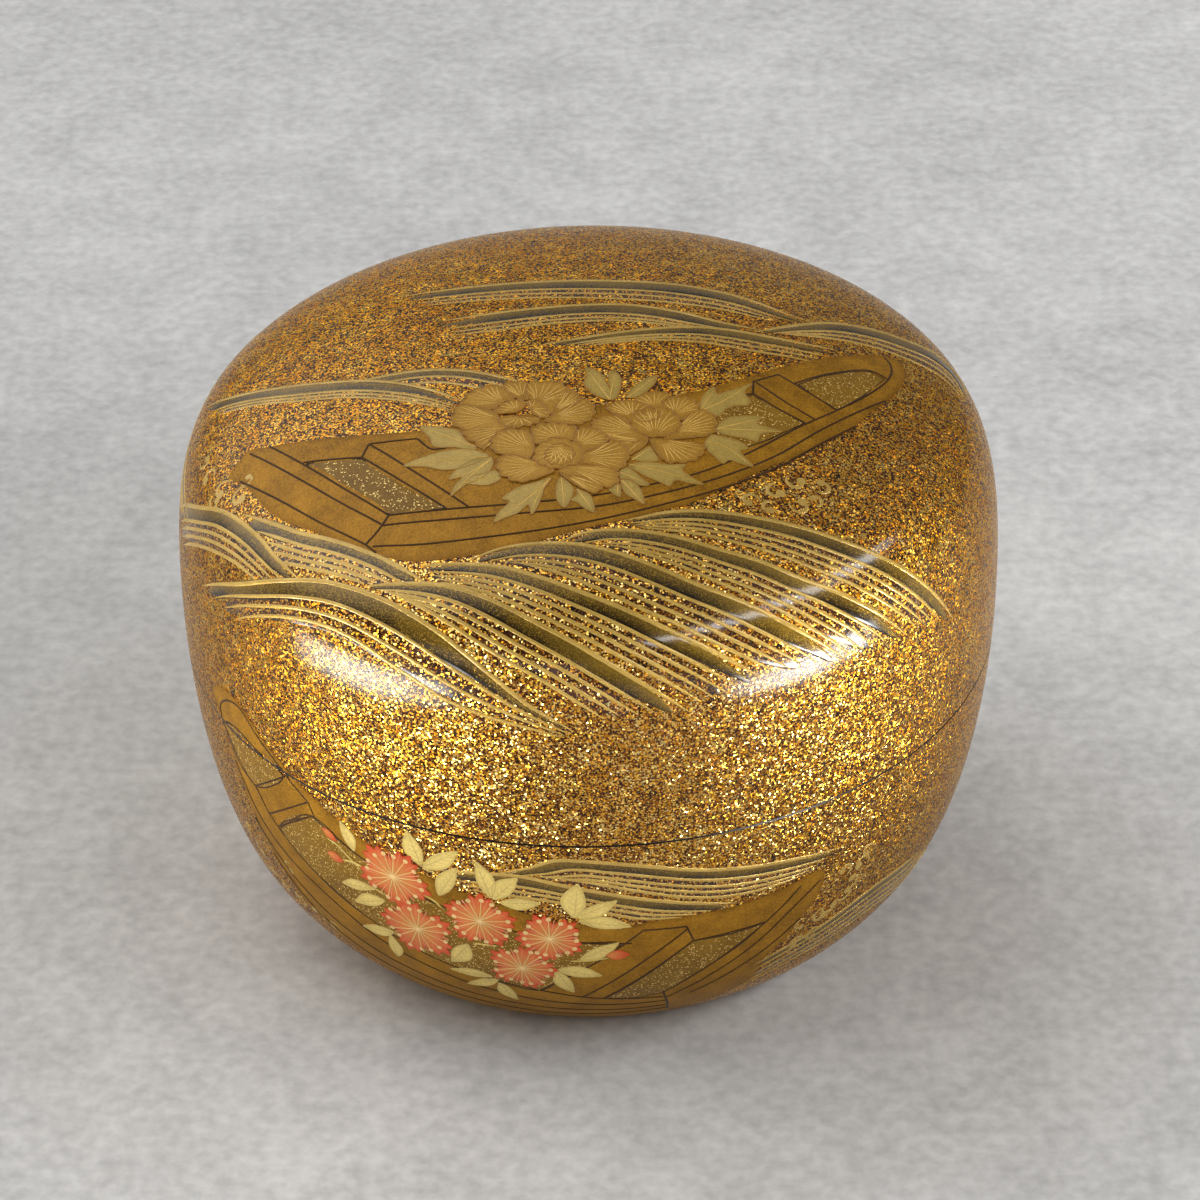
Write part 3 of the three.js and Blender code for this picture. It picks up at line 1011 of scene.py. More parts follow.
PEONIES = [
    ((-6.3, -11.4), [
        points(-80, -67, -72, -63, -58, -64, -57, -75, -58, -85, -56, -94, -65, -92, -74, -82),
        points(-56, -66, -42, -65, -28, -67, -18, -78, -19, -92, -24, -102, -28, -110, -34, -120,
            -40, -107, -49, -96, -56, -92, -58, -82),
        points(-17, -80, -9, -86, -7, -95, -12, -104, -21, -113, -33, -122, -28, -107, -22, -95),
        points(-5, -96, 4, -103, 8, -115, 4, -129, -6, -137, -19, -137, -33, -133, -40, -131,
            -33, -122, -21, -115, -12, -107),
        points(-117, -85, -109, -74, -97, -68, -87, -67, -77, -76, -69, -90, -77, -94, -85, -101,
            -90, -107, -100, -104, -112, -98, -118, -96),
        points(-128, -110, -123, -96, -111, -99, -98, -106, -88, -112, -84, -123, -80, -133,
            -75, -140, -86, -141, -104, -138, -118, -136, -128, -125, -129, -117),
        points(-118, -137, -104, -138, -86, -141, -74, -139, -65, -137, -81, -146, -89, -152,
            -94, -161, -98, -170, -104, -161, -111, -153, -117, -144),
        points(-55, -96, -47, -97, -40, -107, -35, -121, -40, -126, -49, -120, -54, -109),
        points(-84, -123, -72, -120, -58, -124, -44, -126, -49, -134, -58, -137, -70, -138,
            -80, -133),
        points(-88, -112, -82, -101, -75, -96, -65, -94, -58, -100, -60, -107, -67, -114, -76, -115,
            -85, -115),
    ]),
    ((6.6, -13.7), [
        points(47, -99, 55, -89, 64, -85, 75, -85, 80, -90, 75, -103, 70, -112, 61, -109, 54, -104),
        points(76, -99, 86, -92, 96, -93, 106, -100, 108, -111, 100, -120, 89, -130, 85, -120,
            77, -113, 73, -109),
        points(20, -109, 27, -103, 40, -100, 54, -104, 61, -110, 52, -115, 45, -124, 42, -136,
            33, -126, 24, -119),
        points(91, -135, 100, -120, 111, -112, 121, -117, 124, -128, 123, -141, 118, -150,
            106, -155, 88, -159, 74, -161, 82, -150),
        points(16, -152, 33, -164, 58, -161, 56, -170, 46, -180, 39, -185, 35, -177, 27, -166),
        points(5, -140, 12, -129, 24, -124, 36, -129, 42, -140, 47, -149, 59, -161, 51, -165,
            37, -166, 24, -162, 15, -151, 6, -147),
        points(61, -161, 74, -161, 90, -163, 106, -165, 113, -170, 109, -181, 101, -190, 87, -194,
            76, -194, 68, -183, 63, -170),
        points(43, -136, 47, -120, 56, -113, 68, -112, 79, -113, 88, -127, 90, -139, 83, -150,
            71, -157, 60, -157, 50, -151, 44, -144),
        points(49, -126, 59, -117, 69, -118, 71, -127, 63, -133, 53, -134),
    ]),
    ((-2.6, -18.1), [
        points(-53, -150, -49, -139, -38, -135, -22, -137, -10, -144, -9, -152, -14, -163,
            -19, -161, -29, -160, -40, -162, -48, -167, -52, -160),
        points(-8, -146, 1, -144, 13, -150, 20, -161, 17, -169, 5, -177, -4, -179, -9, -167,
            -13, -163),
        points(24, -164, 34, -169, 39, -183, 36, -199, 28, -208, 14, -202, -2, -198, -9, -198,
            -4, -183, 5, -179, 19, -170),
        points(-91, -162, -85, -146, -72, -142, -59, -146, -52, -154, -50, -167, -51, -180,
            -56, -188, -67, -183, -79, -180, -88, -174),
        points(-25, -211, -13, -216, 1, -221, 14, -228, 12, -235, 5, -239, 1, -236, -9, -229,
            -18, -220),
        points(-27, -208, -13, -200, 5, -201, 23, -205, 29, -213, 28, -225, 18, -231, 7, -225,
            -6, -218, -18, -214),
        points(-85, -191, -81, -182, -70, -182, -56, -188, -49, -193, -40, -201, -31, -207,
            -40, -213, -54, -219, -65, -220, -76, -213, -82, -207),
        points(-50, -182, -44, -167, -31, -159, -17, -163, -6, -173, -3, -183, -6, -196, -17, -201,
            -31, -204, -42, -199, -49, -192),
        points(-40, -185, -36, -174, -26, -168, -16, -172, -12, -183, -15, -194, -27, -199,
            -37, -194),
    ]),
]

# Leaves on the lid: the outline, then the veins

LID_LEAVES = [
    (points(23, -98, 11, -92, 2, -80, -2, -68, 1, -56, 0, -41, 9, -45, 16, -56, 20, -69, 23, -79,
         22, -57, 24, -49, 30, -50, 34, -61, 34, -73, 32, -87, 28, -96),
     [points(23, -98, 3, -50), points(23, -98, 28, -54)]),
    (points(38, -93, 43, -82, 53, -67, 62, -58, 69, -55, 67, -69, 62, -78, 55, -89, 45, -95),
     [points(40, -94, 68, -58)]),
    (points(109, -108, 112, -90, 124, -71, 127, -83, 133, -80, 148, -70, 162, -61, 154, -77,
         159, -91, 156, -99, 144, -101, 135, -108, 128, -120, 116, -118),
     [points(111, -110, 124, -77), points(111, -112, 131, -96, 159, -64)]),
    (points(125, -136, 134, -123, 148, -117, 169, -116, 165, -127, 189, -135, 168, -143, 164, -155,
         152, -152, 138, -150, 126, -145),
     [points(125, -140, 166, -120), points(125, -140, 187, -136)]),
    (points(113, -161, 119, -150, 134, -152, 147, -157, 155, -167, 147, -171, 159, -192, 144, -189,
         136, -186, 130, -192, 124, -185, 115, -173),
     [points(114, -160, 133, -167, 156, -190)]),
    (points(42, -190, 53, -177, 60, -171, 64, -179, 68, -192, 55, -194),
     [points(43, -192, 60, -175)]),
    (points(39, -200, 49, -195, 64, -195, 80, -197, 95, -196, 91, -204, 100, -214, 111, -223,
         95, -222, 84, -219, 78, -228, 71, -224, 57, -216, 46, -207),
     [points(40, -198, 71, -208, 108, -221), points(53, -200, 78, -201, 94, -198)]),
    (points(30, -210, 37, -202, 41, -204, 50, -215, 59, -227, 50, -228, 41, -220, 32, -219),
     [points(32, -210, 57, -225)]),
    (points(32, -220, 41, -221, 50, -231, 53, -242, 54, -253, 43, -245, 36, -239, 33, -230),
     [points(33, -221, 53, -252)]),
    (points(19, -230, 30, -225, 32, -234, 31, -244, 24, -239),
     [points(29, -226, 29, -242)]),
    (points(-25, -215, -18, -222, -13, -233, -16, -247, -22, -257, -28, -249, -30, -233),
     [points(-24, -217, -22, -253)]),
    (points(-10, -232, -2, -236, 4, -243, 6, -264, -3, -258, -11, -250, -16, -247, -10, -240),
     [points(-9, -233, 5, -261)]),
    (points(-33, -215, -40, -229, -45, -248, -53, -264, -56, -251, -65, -260, -79, -266, -89, -270,
         -84, -257, -74, -245, -81, -241, -72, -231, -63, -225, -49, -221, -40, -217),
     [points(-35, -217, -61, -247, -88, -268), points(-35, -217, -45, -235, -53, -261)]),
    (points(-91, -181, -89, -188, -91, -198, -99, -210, -113, -216, -123, -224, -130, -231,
         -126, -216, -119, -207, -132, -208, -126, -196, -115, -187, -102, -181),
     [points(-91, -184, -113, -202, -130, -208), points(-91, -184, -111, -206, -128, -228)]),
    (points(-117, -215, -111, -207, -99, -204, -88, -201, -81, -209, -83, -215, -95, -221,
         -106, -219),
     [points(-117, -215, -83, -208)]),
    (points(-93, -178, -111, -167, -131, -165, -151, -169, -176, -180, -154, -186, -136, -194,
         -116, -193, -102, -186),
     [points(-94, -180, -174, -180)]),
    (points(-105, -168, -115, -154, -124, -136, -136, -130, -160, -124, -151, -143, -146, -158,
         -126, -162, -116, -166),
     [points(-106, -164, -158, -126)]),
]

# Curls of spray: right, back or up, and size, in mm

LID_CURLS = [
    (15.5, -23.8, 1), (17.4, -24.4, 0.9), (18.1, -22.2, 1.1), (20.1, -20.5, 1.1),
    (20.4, -23.5, 1.1), (22.6, -20.5, 1), (21.9, -22.5, 0.8), (-38.8, -9.5, 1.1), (-37, -12.9, 1.2),
    (-34.7, -15.4, 1.2), (-38.1, -13.6, 1), (-39.2, -6.7, 0.9), (-33.7, -13.7, 0.8),
]

SIDE_CURLS = [
    (22.2, -19.2, 1.1), (24.3, -18.9, 1.1), (24.6, -16, 1.1), (25.7, -15.3, 1.1),
    (27.5, -14.3, 1.1), (28.1, -12.8, 1.1), (26.7, -10.6, 1), (29, -10.8, 1.1), (29.6, -9.5, 0.9),
    (22.1, -16.2, 0.9), (-41.8, -15.8, 1), (-41, -18.1, 1.1), (-39, -19.1, 1.1),
    (-36.3, -19.4, 1.1), (-33.3, -19.6, 1.1), (-31, -20.5, 1), (-43.5, -14.2, 1),
    (-35.5, -14.2, 0.9),
]

# The boat on the side

SIDE_BOAT_HULL = points(-455, 25, -429, 44, -393, 44, -358, 25, -328, 9, -293, -10, -257, -27,
    -235, -38, -207, -46, -160, -62, -91, -82, -33, -99, 37, -105, 84, -100, 111, -101, 150, -100,
    197, -94, 236, -89, 238, -119, 224, -143, 206, -175, 187, -199, 183, -236, 134, -286, 46, -310,
    -40, -306, -105, -305, -175, -300, -225, -282, -272, -256, -312, -226, -344, -194, -370, -156,
    -392, -114, -410, -69, -424, -27, -438, 3)

SIDE_BOAT_WELLS = [
    points(-429, 2, -407, 9, -361, 2, -330, -6, -382, -48, -403, -36),
    points(-349, -82, -294, -37, -247, -59, -205, -75, -169, -92, -123, -105, -78, -117, -19, -128,
        25, -131, 5, -156, -37, -191, -60, -213, -124, -198, -177, -182, -237, -155, -289, -127,
        -326, -106),
]

SIDE_BOAT_STERN_WELL = points(10, -229, 99, -139, 177, -136, 74, -225, 46, -232)

SIDE_BOAT_PLANKS = [
    points(-438, 3, -437, 18, -416, 36, -392, 40, -369, 25, -340, 8, -317, -8, -297, -21),
    points(-435, -2, -405, -40, -383, -49, -365, -74, -332, -101, -289, -129, -237, -155,
        -177, -182, -124, -198, -60, -213, 5, -229, 75, -237),
    points(-419, -39, -385, -93, -347, -122, -295, -148, -238, -182, -182, -204, -128, -222,
        -63, -237, 8, -247, 79, -250),
    points(-402, -103, -342, -158, -278, -198, -210, -225, -140, -246, -60, -260, 20, -266,
        83, -266),
    points(-382, -138, -334, -188, -276, -226, -210, -252, -136, -270, -60, -281, 20, -284,
        87, -280),
    points(74, -225, 82, -256, 89, -290),
    points(-383, -49, -327, -5),
    points(-365, -74, -297, -21),
    points(-297, -21, -291, -36),
    points(-353, -83, -294, -37),
    points(-294, -37, -247, -59, -205, -75, -169, -92, -123, -105, -78, -117, -19, -128, 37, -132),
    points(-60, -213, 5, -156, 48, -114),
    points(48, -114, 91, -116),
    points(91, -116, 99, -137),
    points(-15, -226, 46, -165, 93, -119),
    points(8, -229, 57, -180, 99, -139),
    points(99, -139, 138, -140, 176, -137),
    points(176, -137, 196, -118, 212, -100),
    points(176, -137, 151, -161, 111, -192, 75, -224),
    points(235, -103, 204, -131, 169, -167, 124, -204, 80, -239),
    points(73, -221, 85, -264),
    points(219, -150, 183, -182, 147, -209, 106, -238),
]

# Blossoms on the side: centre and radius of the stamens

BLOSSOMS = [
    ((-7.5, -17.3), 3.0), ((-18.3, -14.1), 3.4), ((-20.1, -7.4), 3.3),
    ((-11.3, -10.8), 3.05), ((-4.4, -12.3), 2.8),
]

# Buds, stems and leaves on the side: from, to and width

BUDS = [
    ((-28.2, -4.5), (-26.4, -5.5), 0.7),
    ((-28.0, -7.6), (-26.0, -8.0), 0.8),
    ((1.1, -14.8), (3.5, -14.8), 1.0),
]

SIDE_STEMS = [
    points(-277, -57, -265, -60, -250, -72, -239, -81),
    points(-261, -77, -246, -75, -233, -77),
    points(-173, -86, -161, -91, -151, -100),
    points(-123, -143, -111, -143, -98, -142),
    points(14, -152, -5, -156, -25, -157),
    points(-182, -50, -177, -52, -170, -53),
    points(-167, -51, -154, -53),
    points(-226, -100, -215, -105),
    points(-16, -91, -2, -103),
]

SIDE_LEAVES = [
    ((-24.4, -5.8), (-25.7, -2.5), 1.0), ((-16.8, -4.8), (-18.0, -0.7), 1.3),
    ((-16.7, -5.0), (-12.9, -1.9), 1.2), ((-15.3, -8.3), (-13.1, -4.1), 1.2),
    ((-9.9, -7.4), (-11.2, -2.8), 1.2), ((-9.7, -7.5), (-7.2, -4.3), 1.3),
    ((-9.1, -7.8), (-5.1, -7.4), 1.0), ((-1.9, -9.2), (-1.5, -4.7), 1.6),
    ((-1.8, -9.2), (2.2, -7.0), 1.1), ((-1.5, -9.7), (3.6, -10.7), 1.1),
    ((-1.5, -15.4), (2.4, -12.9), 1.1), ((-3.9, -17.2), (0.7, -18.2), 1.2),
    ((-4.0, -17.4), (-2.3, -21.4), 1.2), ((-26.8, -11.2), (-22.5, -10.1), 0.9),
    ((-21.6, -11.3), (-25.6, -13.3), 1.1), ((-21.4, -15.9), (-25.6, -17.0), 1.0),
    ((-22.1, -20.4), (-22.0, -16.6), 1.1), ((-12.9, -14.7), (-15.2, -18.2), 1.4),
    ((-10.9, -19.6), (-15.6, -19.7), 0.9), ((-10.3, -20.0), (-14.2, -22.1), 0.9),
    ((-10.3, -20.6), (-8.8, -24.3), 1.2),
]


# Waves

WAVE_POINTS = 90
LINE_WIDTH, LINE_TAPER, CREST_SHARE = 0.44, (0.15, 0.15), 1.2


def between(crest, last, share):
    """The path that lies at a share of the way from the crest to the last line."""
    def even(path):
        path = smooth_path(path, 0.3)
        run = np.r_[0, np.cumsum(np.linalg.norm(np.diff(path, axis=0), axis=1))]
        places = np.linspace(0, run[-1], WAVE_POINTS)
        return np.c_[np.interp(places, run, path[:, 0]), np.interp(places, run, path[:, 1])]

    return even(crest) * (1 - share) + even(last) * share


def lay_waves(waves, place, ground, name):
    gold, hollows, troughs = Lines(place), Lines(place), Lines(place)
    for crest, last, shares in waves:
        def band(start, end):
            """The middle of the band between two shares, and its width along the way."""
            first, second = (place(between(crest, last, share))[0] for share in (start, end))
            return between(crest, last, (start + end) / 2), np.linalg.norm(second - first, axis=1)

        gold.add(crest, LINE_WIDTH * CREST_SHARE, taper=LINE_TAPER)
        hollows.add(*band(0, shares[0]), smooth=False, taper=(0.25, 0.4))
        troughs.add(*band(shares[0], 1), smooth=False, taper=(0.3, 0.3))
        for share in shares:
            gold.add(between(crest, last, share), LINE_WIDTH, smooth=False, taper=LINE_TAPER)
    troughs.lay(name + "_wave_troughs", ground, SPARSE_NASHIJI, slot="gold_flake_lacquer",
                thickness=0.01, section_sides=12)
    hollows.lay(name + "_wave_hollows", ground, WAVE_HOLLOW, thickness=0.015, section_sides=12)
    gold.lay(name + "_wave_lines", ground, WAVE_GOLD, thickness=0.045)


def moved(count, right, up, mirror=False):
    """The first waves of the side, moved round and perhaps mirrored."""
    result = []
    for crest, last, shares in SIDE_WAVES[:count]:
        paths = [np.array(path) * (-1 if mirror else 1, 1) + (right, up) for path in (crest, last)]
        result.append((*(path[::-1] if mirror else path for path in paths), shares))
    return result


lay_waves(LID_WAVES, on_lid, lid, "lid")
lay_waves(SIDE_WAVES, on_side, body, "body")

# The plainer back
body_back = moved(2, 92, -3) + moved(2, 168, -8) + moved(1, 130, -14, True)
lid_back = moved(2, 84, 22) + moved(1, 128, 18, True) + moved(2, 172, 24)
lay_waves(body_back, on_side, body, "body_back")
lay_waves(lid_back, on_side, lid, "lid_back")


# Heights of the decoration above the lacquer, and widths and thicknesses of its lines, in mm

SPRAY_LEVEL, DROP_LEVEL = 0.015, 0.045
HULL_LEVEL, WELL_LEVEL, PLANK_LEVEL, LEAF_LEVEL, VEIN_LEVEL = 0.03, 0.045, 0.05, 0.07, 0.078
FLOWER_LEVEL, PETAL_STEP, INK_STEP = 0.085, 0.004, 0.004
WELL_LINE, LID_PLANK_LINE, SIDE_PLANK_LINE, CURL_LINE, STEM_LINE = 0.2, 0.26, 0.24, 0.46, 0.26
PETAL_EDGE, RAY, LEAF_EDGE, LID_VEIN, SIDE_VEIN, FINE_VEIN = 0.13, 0.12, 0.08, 0.12, 0.11, 0.06
THIN_LINE = dict(thickness=0.006, section_sides=6)
INK_LINE = dict(thickness=0.008, section_sides=6)
RAISED_LINE = dict(thickness=0.01, section_sides=6)


# The boat on the lid

hull, wells, planks = Areas(on_lid), Areas(on_lid), Lines(on_lid)
hull.add(LID_BOAT_HULL, HULL_LEVEL)
for well in LID_BOAT_WELLS:
    wells.add(well, WELL_LEVEL, smooth=False)
    planks.add(well + well[:1], WELL_LINE, level=PLANK_LEVEL, smooth=False)
for plank in LID_BOAT_PLANKS:
    planks.add(plank, LID_PLANK_LINE, level=PLANK_LEVEL)
hull.lay("lid_boat", lid, BOAT_GOLD)
wells.lay("lid_boat_wells", lid, SPRINKLED)
planks.lay("lid_boat_plank_lines", lid, DARK_LINE, slot="black_lacquer")


# Peonies and their leaves on the lid

# A petal counts as large from this width and length together; its edge is waved, and reached by
# rays, where it is far enough from its flower's heart or from its own foot
LARGE_PETAL = 6
SCALLOP_DEPTH, SCALLOPS_START, SCALLOPS_BLEND = 0.34, 0.6, 0.25
RAYS_REACH = 0.62
RAY_START, RAY_END, RAY_BEND = 0.2, 0.95, 0.1


def rays_of(petal, heart, count):
    """Fine lines that fan from the foot of a petal towards its outer edge."""
    edge = smooth_path(petal, 0.25, closed=True)
    from_heart = np.linalg.norm(edge - heart, axis=1)
    foot = edge[np.argsort(from_heart)[:len(edge) // 4]].mean(axis=0)
    from_foot = np.linalg.norm(edge - foot, axis=1)
    places = np.flatnonzero(from_foot > RAYS_REACH * from_foot.max())
    gaps = np.flatnonzero(np.diff(np.r_[places, places + len(edge)]) > 1)
    if len(gaps):
        places = np.roll(places, -(gaps[0] + 1) % len(places))
    for place in places[np.linspace(0, len(places) - 1, count + 2).astype(int)[1:-1]]:
        length = edge[place] - foot
        half = length * 0.5
        middle = foot + half + (edge.mean(axis=0) - foot - half) * RAY_BEND
        yield [foot + length * RAY_START, middle, foot + length * RAY_END]


def scalloped(petal, heart, count):
    """The petal's outline with a gently waved outer edge."""
    edge = smooth_path(petal, 0.3, closed=True)
    outwards = edge - heart
    reach = np.linalg.norm(outwards, axis=1)
    outer = np.clip((reach / reach.max() - SCALLOPS_START) / SCALLOPS_BLEND, 0, 1)
    run = np.linspace(0, math.pi * count, len(edge), endpoint=False)
    depth = SCALLOP_DEPTH * outer * (np.abs(np.sin(run)) - 0.5)
    return edge + outwards / reach[:, None] * depth[:, None]


petals, outlines, rays = Areas(on_lid), Lines(on_lid), Lines(on_lid)
level = FLOWER_LEVEL
for heart, flower in PEONIES:
    for petal in flower:
        large = np.ptp(petal, axis=0).sum() > LARGE_PETAL
        edge = scalloped(petal, heart, 12 if large else 9)
        petals.add(edge, level, heart=heart, reach=7.0, spacing=0.7, smooth=False)
        outlines.add(np.vstack([edge, edge[:2]]), PETAL_EDGE, level=level + INK_STEP, smooth=False)
        for ray in rays_of(petal, heart, 9 if large else 6):
            rays.add(ray, RAY, taper=(0.4, 0.4), level=level + INK_STEP, spacing=0.4)
        level += PETAL_STEP
petals.lay("peony_petals", lid, PEONY)
outlines.lay("peony_outlines", lid, PETAL_LINE, **INK_LINE)
rays.lay("peony_rays", lid, PALE_LINE, **RAISED_LINE)

leaves, veins, leaf_edges = Areas(on_lid), Lines(on_lid), Lines(on_lid)
for leaf, leaf_veins in LID_LEAVES:
    leaves.add(leaf, LEAF_LEVEL, spacing=0.7)
    leaf_edges.add(leaf + leaf[:2], LEAF_EDGE, level=LEAF_LEVEL, spacing=0.4)
    for vein in leaf_veins:
        veins.add(vein, LID_VEIN, taper=(0, 0.6), level=VEIN_LEVEL, spacing=0.4)
leaves.lay("lid_leaves", lid, LID_LEAF)
leaf_edges.lay("lid_leaf_edges", lid, PETAL_LINE, **THIN_LINE)
veins.lay("lid_leaf_veins", lid, PALE_LINE, **RAISED_LINE)


# Curls of spray: how far each turns and the next is turned from it, and how it tightens

CURL_TURN, CURL_STEP, CURL_TIGHTENING, DROP_SHARE = 4.2, 0.8, 0.14, 0.42


def towards(turns):
    """Flat directions at the given turns."""
    return np.stack([np.cos(turns), np.sin(turns)], -1)


def ring(centre, radius, count):
    """A small round outline."""
    return centre + radius * towards(np.linspace(0, math.tau, count, endpoint=False))


def lay_curls(curls, place, ground, name):
    """Little hooked strokes that end in a round drop."""
    strokes, drops = Lines(place), Areas(place)
    for index, (right, up, size) in enumerate(curls):
        turns = np.linspace(0, CURL_TURN, 12)
        radius = size * (1.0 - CURL_TIGHTENING * turns)
        curl = (right, up) + radius[:, None] * towards(CURL_STEP * index + turns)
        strokes.add(curl, CURL_LINE, taper=(0.5, 0), level=SPRAY_LEVEL, spacing=0.2)
        drops.add(ring(curl[-1], size * DROP_SHARE, 14), DROP_LEVEL, spacing=0.4)
    strokes.lay(name + "_spray_curls", ground, WAVE_GOLD)
    drops.lay(name + "_spray_drops", ground, WAVE_GOLD)


lay_curls(LID_CURLS, on_lid, lid, "lid")
lay_curls(SIDE_CURLS, on_side, body, "body")


# The boat on the side, which runs over the seam

def straight_sided(corners, step):
    """A closed outline with straight sides, with points at even steps along them."""
    result = []
    for here, after in zip(np.array(corners), np.roll(corners, -1, axis=0)):
        count = max(1, round(np.linalg.norm(after - here) / step))
        result.extend(here + (after - here) * i / count for i in range(count))
    return np.array(result)


hull, wells, planks = OverSeam(Areas), OverSeam(Areas), OverSeam(Lines)
hull.add(SIDE_BOAT_HULL, HULL_LEVEL, spacing=0.7)
for well in SIDE_BOAT_WELLS:
    wells.add(well, WELL_LEVEL, spacing=0.7)
    planks.add(well + well[:2], WELL_LINE, level=PLANK_LEVEL)
stern_well = straight_sided(SIDE_BOAT_STERN_WELL, 0.6)
wells.add(stern_well, WELL_LEVEL, spacing=0.7, smooth=False)
planks.add(np.vstack([stern_well, stern_well[:1]]), WELL_LINE, level=PLANK_LEVEL, smooth=False)
for plank in SIDE_BOAT_PLANKS:
    planks.add(plank, SIDE_PLANK_LINE, level=PLANK_LEVEL)
hull.lay("side_boat", BOAT_GOLD)
wells.lay("side_boat_wells", SPRINKLED)
planks.lay("side_boat_plank_lines", DARK_LINE, slot="black_lacquer")


# Stems and leaves on the side

LEAF_FULLNESS, LEAF_BEND = 1.5, 0.12
VEIN_SHARES = (0.2, 0.36, 0.52, 0.68)


def crosswise(along):
    return np.array((-along[1], along[0])) / np.linalg.norm(along)


def lens(start, end, width, bend):
    """A pointed leaf from its foot to its tip."""
    along = end - start
    across = crosswise(along)
    share = np.linspace(0, 1, 9)[:, None]
    swell = np.sin(math.pi * share ** 0.9) * width / 2
    spine = start + along * share + across * bend * width * np.sin(math.pi * share)
    return np.vstack([spine + across * swell, (spine - across * swell)[-2:0:-1]])


leaves = OverSeam(Areas)
leaf_edges, veins, stems = OverSeam(Lines), OverSeam(Lines), OverSeam(Lines)
for index, (start, end, width) in enumerate(SIDE_LEAVES):
    start, end = np.array(start), np.array(end)
    shape = lens(start, end, width * LEAF_FULLNESS, LEAF_BEND if index % 2 else -LEAF_BEND)
    leaves.add(shape, LEAF_LEVEL, spacing=0.6)
    leaf_edges.add(np.vstack([shape, shape[:2]]), LEAF_EDGE, level=LEAF_LEVEL, spacing=0.4)
    along = end - start
    veins.add([start, (start + end) / 2, start + along * 0.95], SIDE_VEIN, taper=(0, 0.5),
              level=VEIN_LEVEL, spacing=0.4)
    for share in VEIN_SHARES:
        for sign in (-1, 1):
            foot = start + along * share
            tip = foot + along * 0.14 + crosswise(along) * sign * width * 0.42
            veins.add([foot, tip], FINE_VEIN, taper=(0, 0.5), level=VEIN_LEVEL, spacing=0.3)
for stem in SIDE_STEMS:
    stems.add(stem, STEM_LINE, taper=(0.1, 0.1), level=LEAF_LEVEL, spacing=0.4)
stems.lay("side_stems", SIDE_LEAF)
leaves.lay("side_leaves", SIDE_LEAF)
leaf_edges.lay("side_leaf_edges", LEAF_LINE, **THIN_LINE)
veins.lay("side_leaf_veins", LEAF_LINE, **THIN_LINE)


# Blossoms and buds on the side

PETALS, STAMENS = 5, 15
ANTHER_RADIUS, HEART_RADIUS, ROUND_CORNERS = 0.26, 0.3, 12
# Shares of a blossom's radius: its edge, what lobes and teeth add, its ribs, and its stamens
EDGE, LOBES, TEETH = 0.62, 0.42, 0.5
RIB, FINE_RIB, RIB_SPREAD = (0.3, 0.98), (0.5, 1.08), 0.38
STALK_START, STALK_MIDDLE, STALK_END, STALK_SWAY = 0.08, 0.5, (0.84, 1.0), 0.16
STALK_WIDTHS = (0.2, 0.14, 0.12)


def spoke(centre, turn, length, *shares):
    """Points on the way out from a centre, at shares of a length."""
    return [centre + towards(turn) * length * share for share in shares]


reds, red_lines, stamens, anthers = Areas(on_side), Lines(on_side), Lines(on_side), Areas(on_side)
chance = np.random.default_rng(7)
for index, (centre, radius) in enumerate(BLOSSOMS):
    level = FLOWER_LEVEL + index * 3 * PETAL_STEP
    top = level + 5 * INK_STEP
    first = 0.5 * index
    turns = np.linspace(0, math.tau, 160, endpoint=False)
    lobe = np.abs(np.cos((turns - first) * PETALS / 2)) ** 0.6
    teeth = np.abs(((turns - first) * 4 * PETALS / math.tau) % 1 - 0.5) * lobe
    reach = radius * (EDGE + LOBES * lobe + TEETH * teeth)
    reds.add(centre + reach[:, None] * towards(turns), level, heart=centre, reach=radius * 1.2,
             spacing=0.6, smooth=False)
    for petal in range(PETALS):
        turn = first + math.tau * (petal + 0.5) / PETALS
        red_lines.add(spoke(centre, turn, radius, *RIB), PETAL_EDGE, taper=(0.4, 0),
                      level=level + INK_STEP, spacing=0.4)
        for spread in (-RIB_SPREAD, RIB_SPREAD):
            red_lines.add(spoke(centre, turn + spread, radius, *FINE_RIB), LEAF_EDGE,
                          taper=(0.4, 0.3), level=level + INK_STEP, spacing=0.4)
    for stamen in range(STAMENS):
        turn = first + math.tau * (stamen + chance.uniform(-STALK_SWAY, STALK_SWAY)) / STAMENS
        length = chance.uniform(*STALK_END)
        stalk = spoke(centre, turn, radius, STALK_START, STALK_MIDDLE, length)
        stamens.add(stalk, STALK_WIDTHS, level=level + 2 * INK_STEP, spacing=0.4)
        anthers.add(ring(stalk[-1], ANTHER_RADIUS, ROUND_CORNERS), top, spacing=0.3)
    anthers.add(ring(centre, HEART_RADIUS, ROUND_CORNERS), top, spacing=0.3)
for start, end, width in BUDS:
    bud = lens(np.array(start), np.array(end), width * LEAF_FULLNESS, 0.0)
    reds.add(bud, FLOWER_LEVEL, heart=start, reach=2.0, spacing=0.5)
reds.lay("side_blossoms", body, BLOSSOM_RED, slot="red_lacquer")
red_lines.lay("side_blossom_lines", body, BLOSSOM_LINE, slot="red_lacquer", **INK_LINE)
stamens.lay("side_stamens", body, CREAM)
anthers.lay("side_anthers", body, CREAM)


# Floor, lights and camera

FLOOR_REACH = 1.5
FLOOR_DRIFTS = ((60.0, 0.26), (9.0, 0.28), (1.6, 0.46))
FLOOR_DARK, FLOOR_PALE, FLOOR_ROUGHNESS = (0.41, 0.41, 0.41), (0.75, 0.75, 0.745), 0.85


def floor_finish():
    material, tree, shader = new_material("pale_floor")
    tone = weighed(tree, *((drift_on(tree, size, 5.0), share) for size, share in FLOOR_DRIFTS))
    join(tree, shader, {
        "Base Color": mix_colour(tree, tone, FLOOR_DARK, FLOOR_PALE),
        "Roughness": FLOOR_ROUGHNESS,
    })
    return material


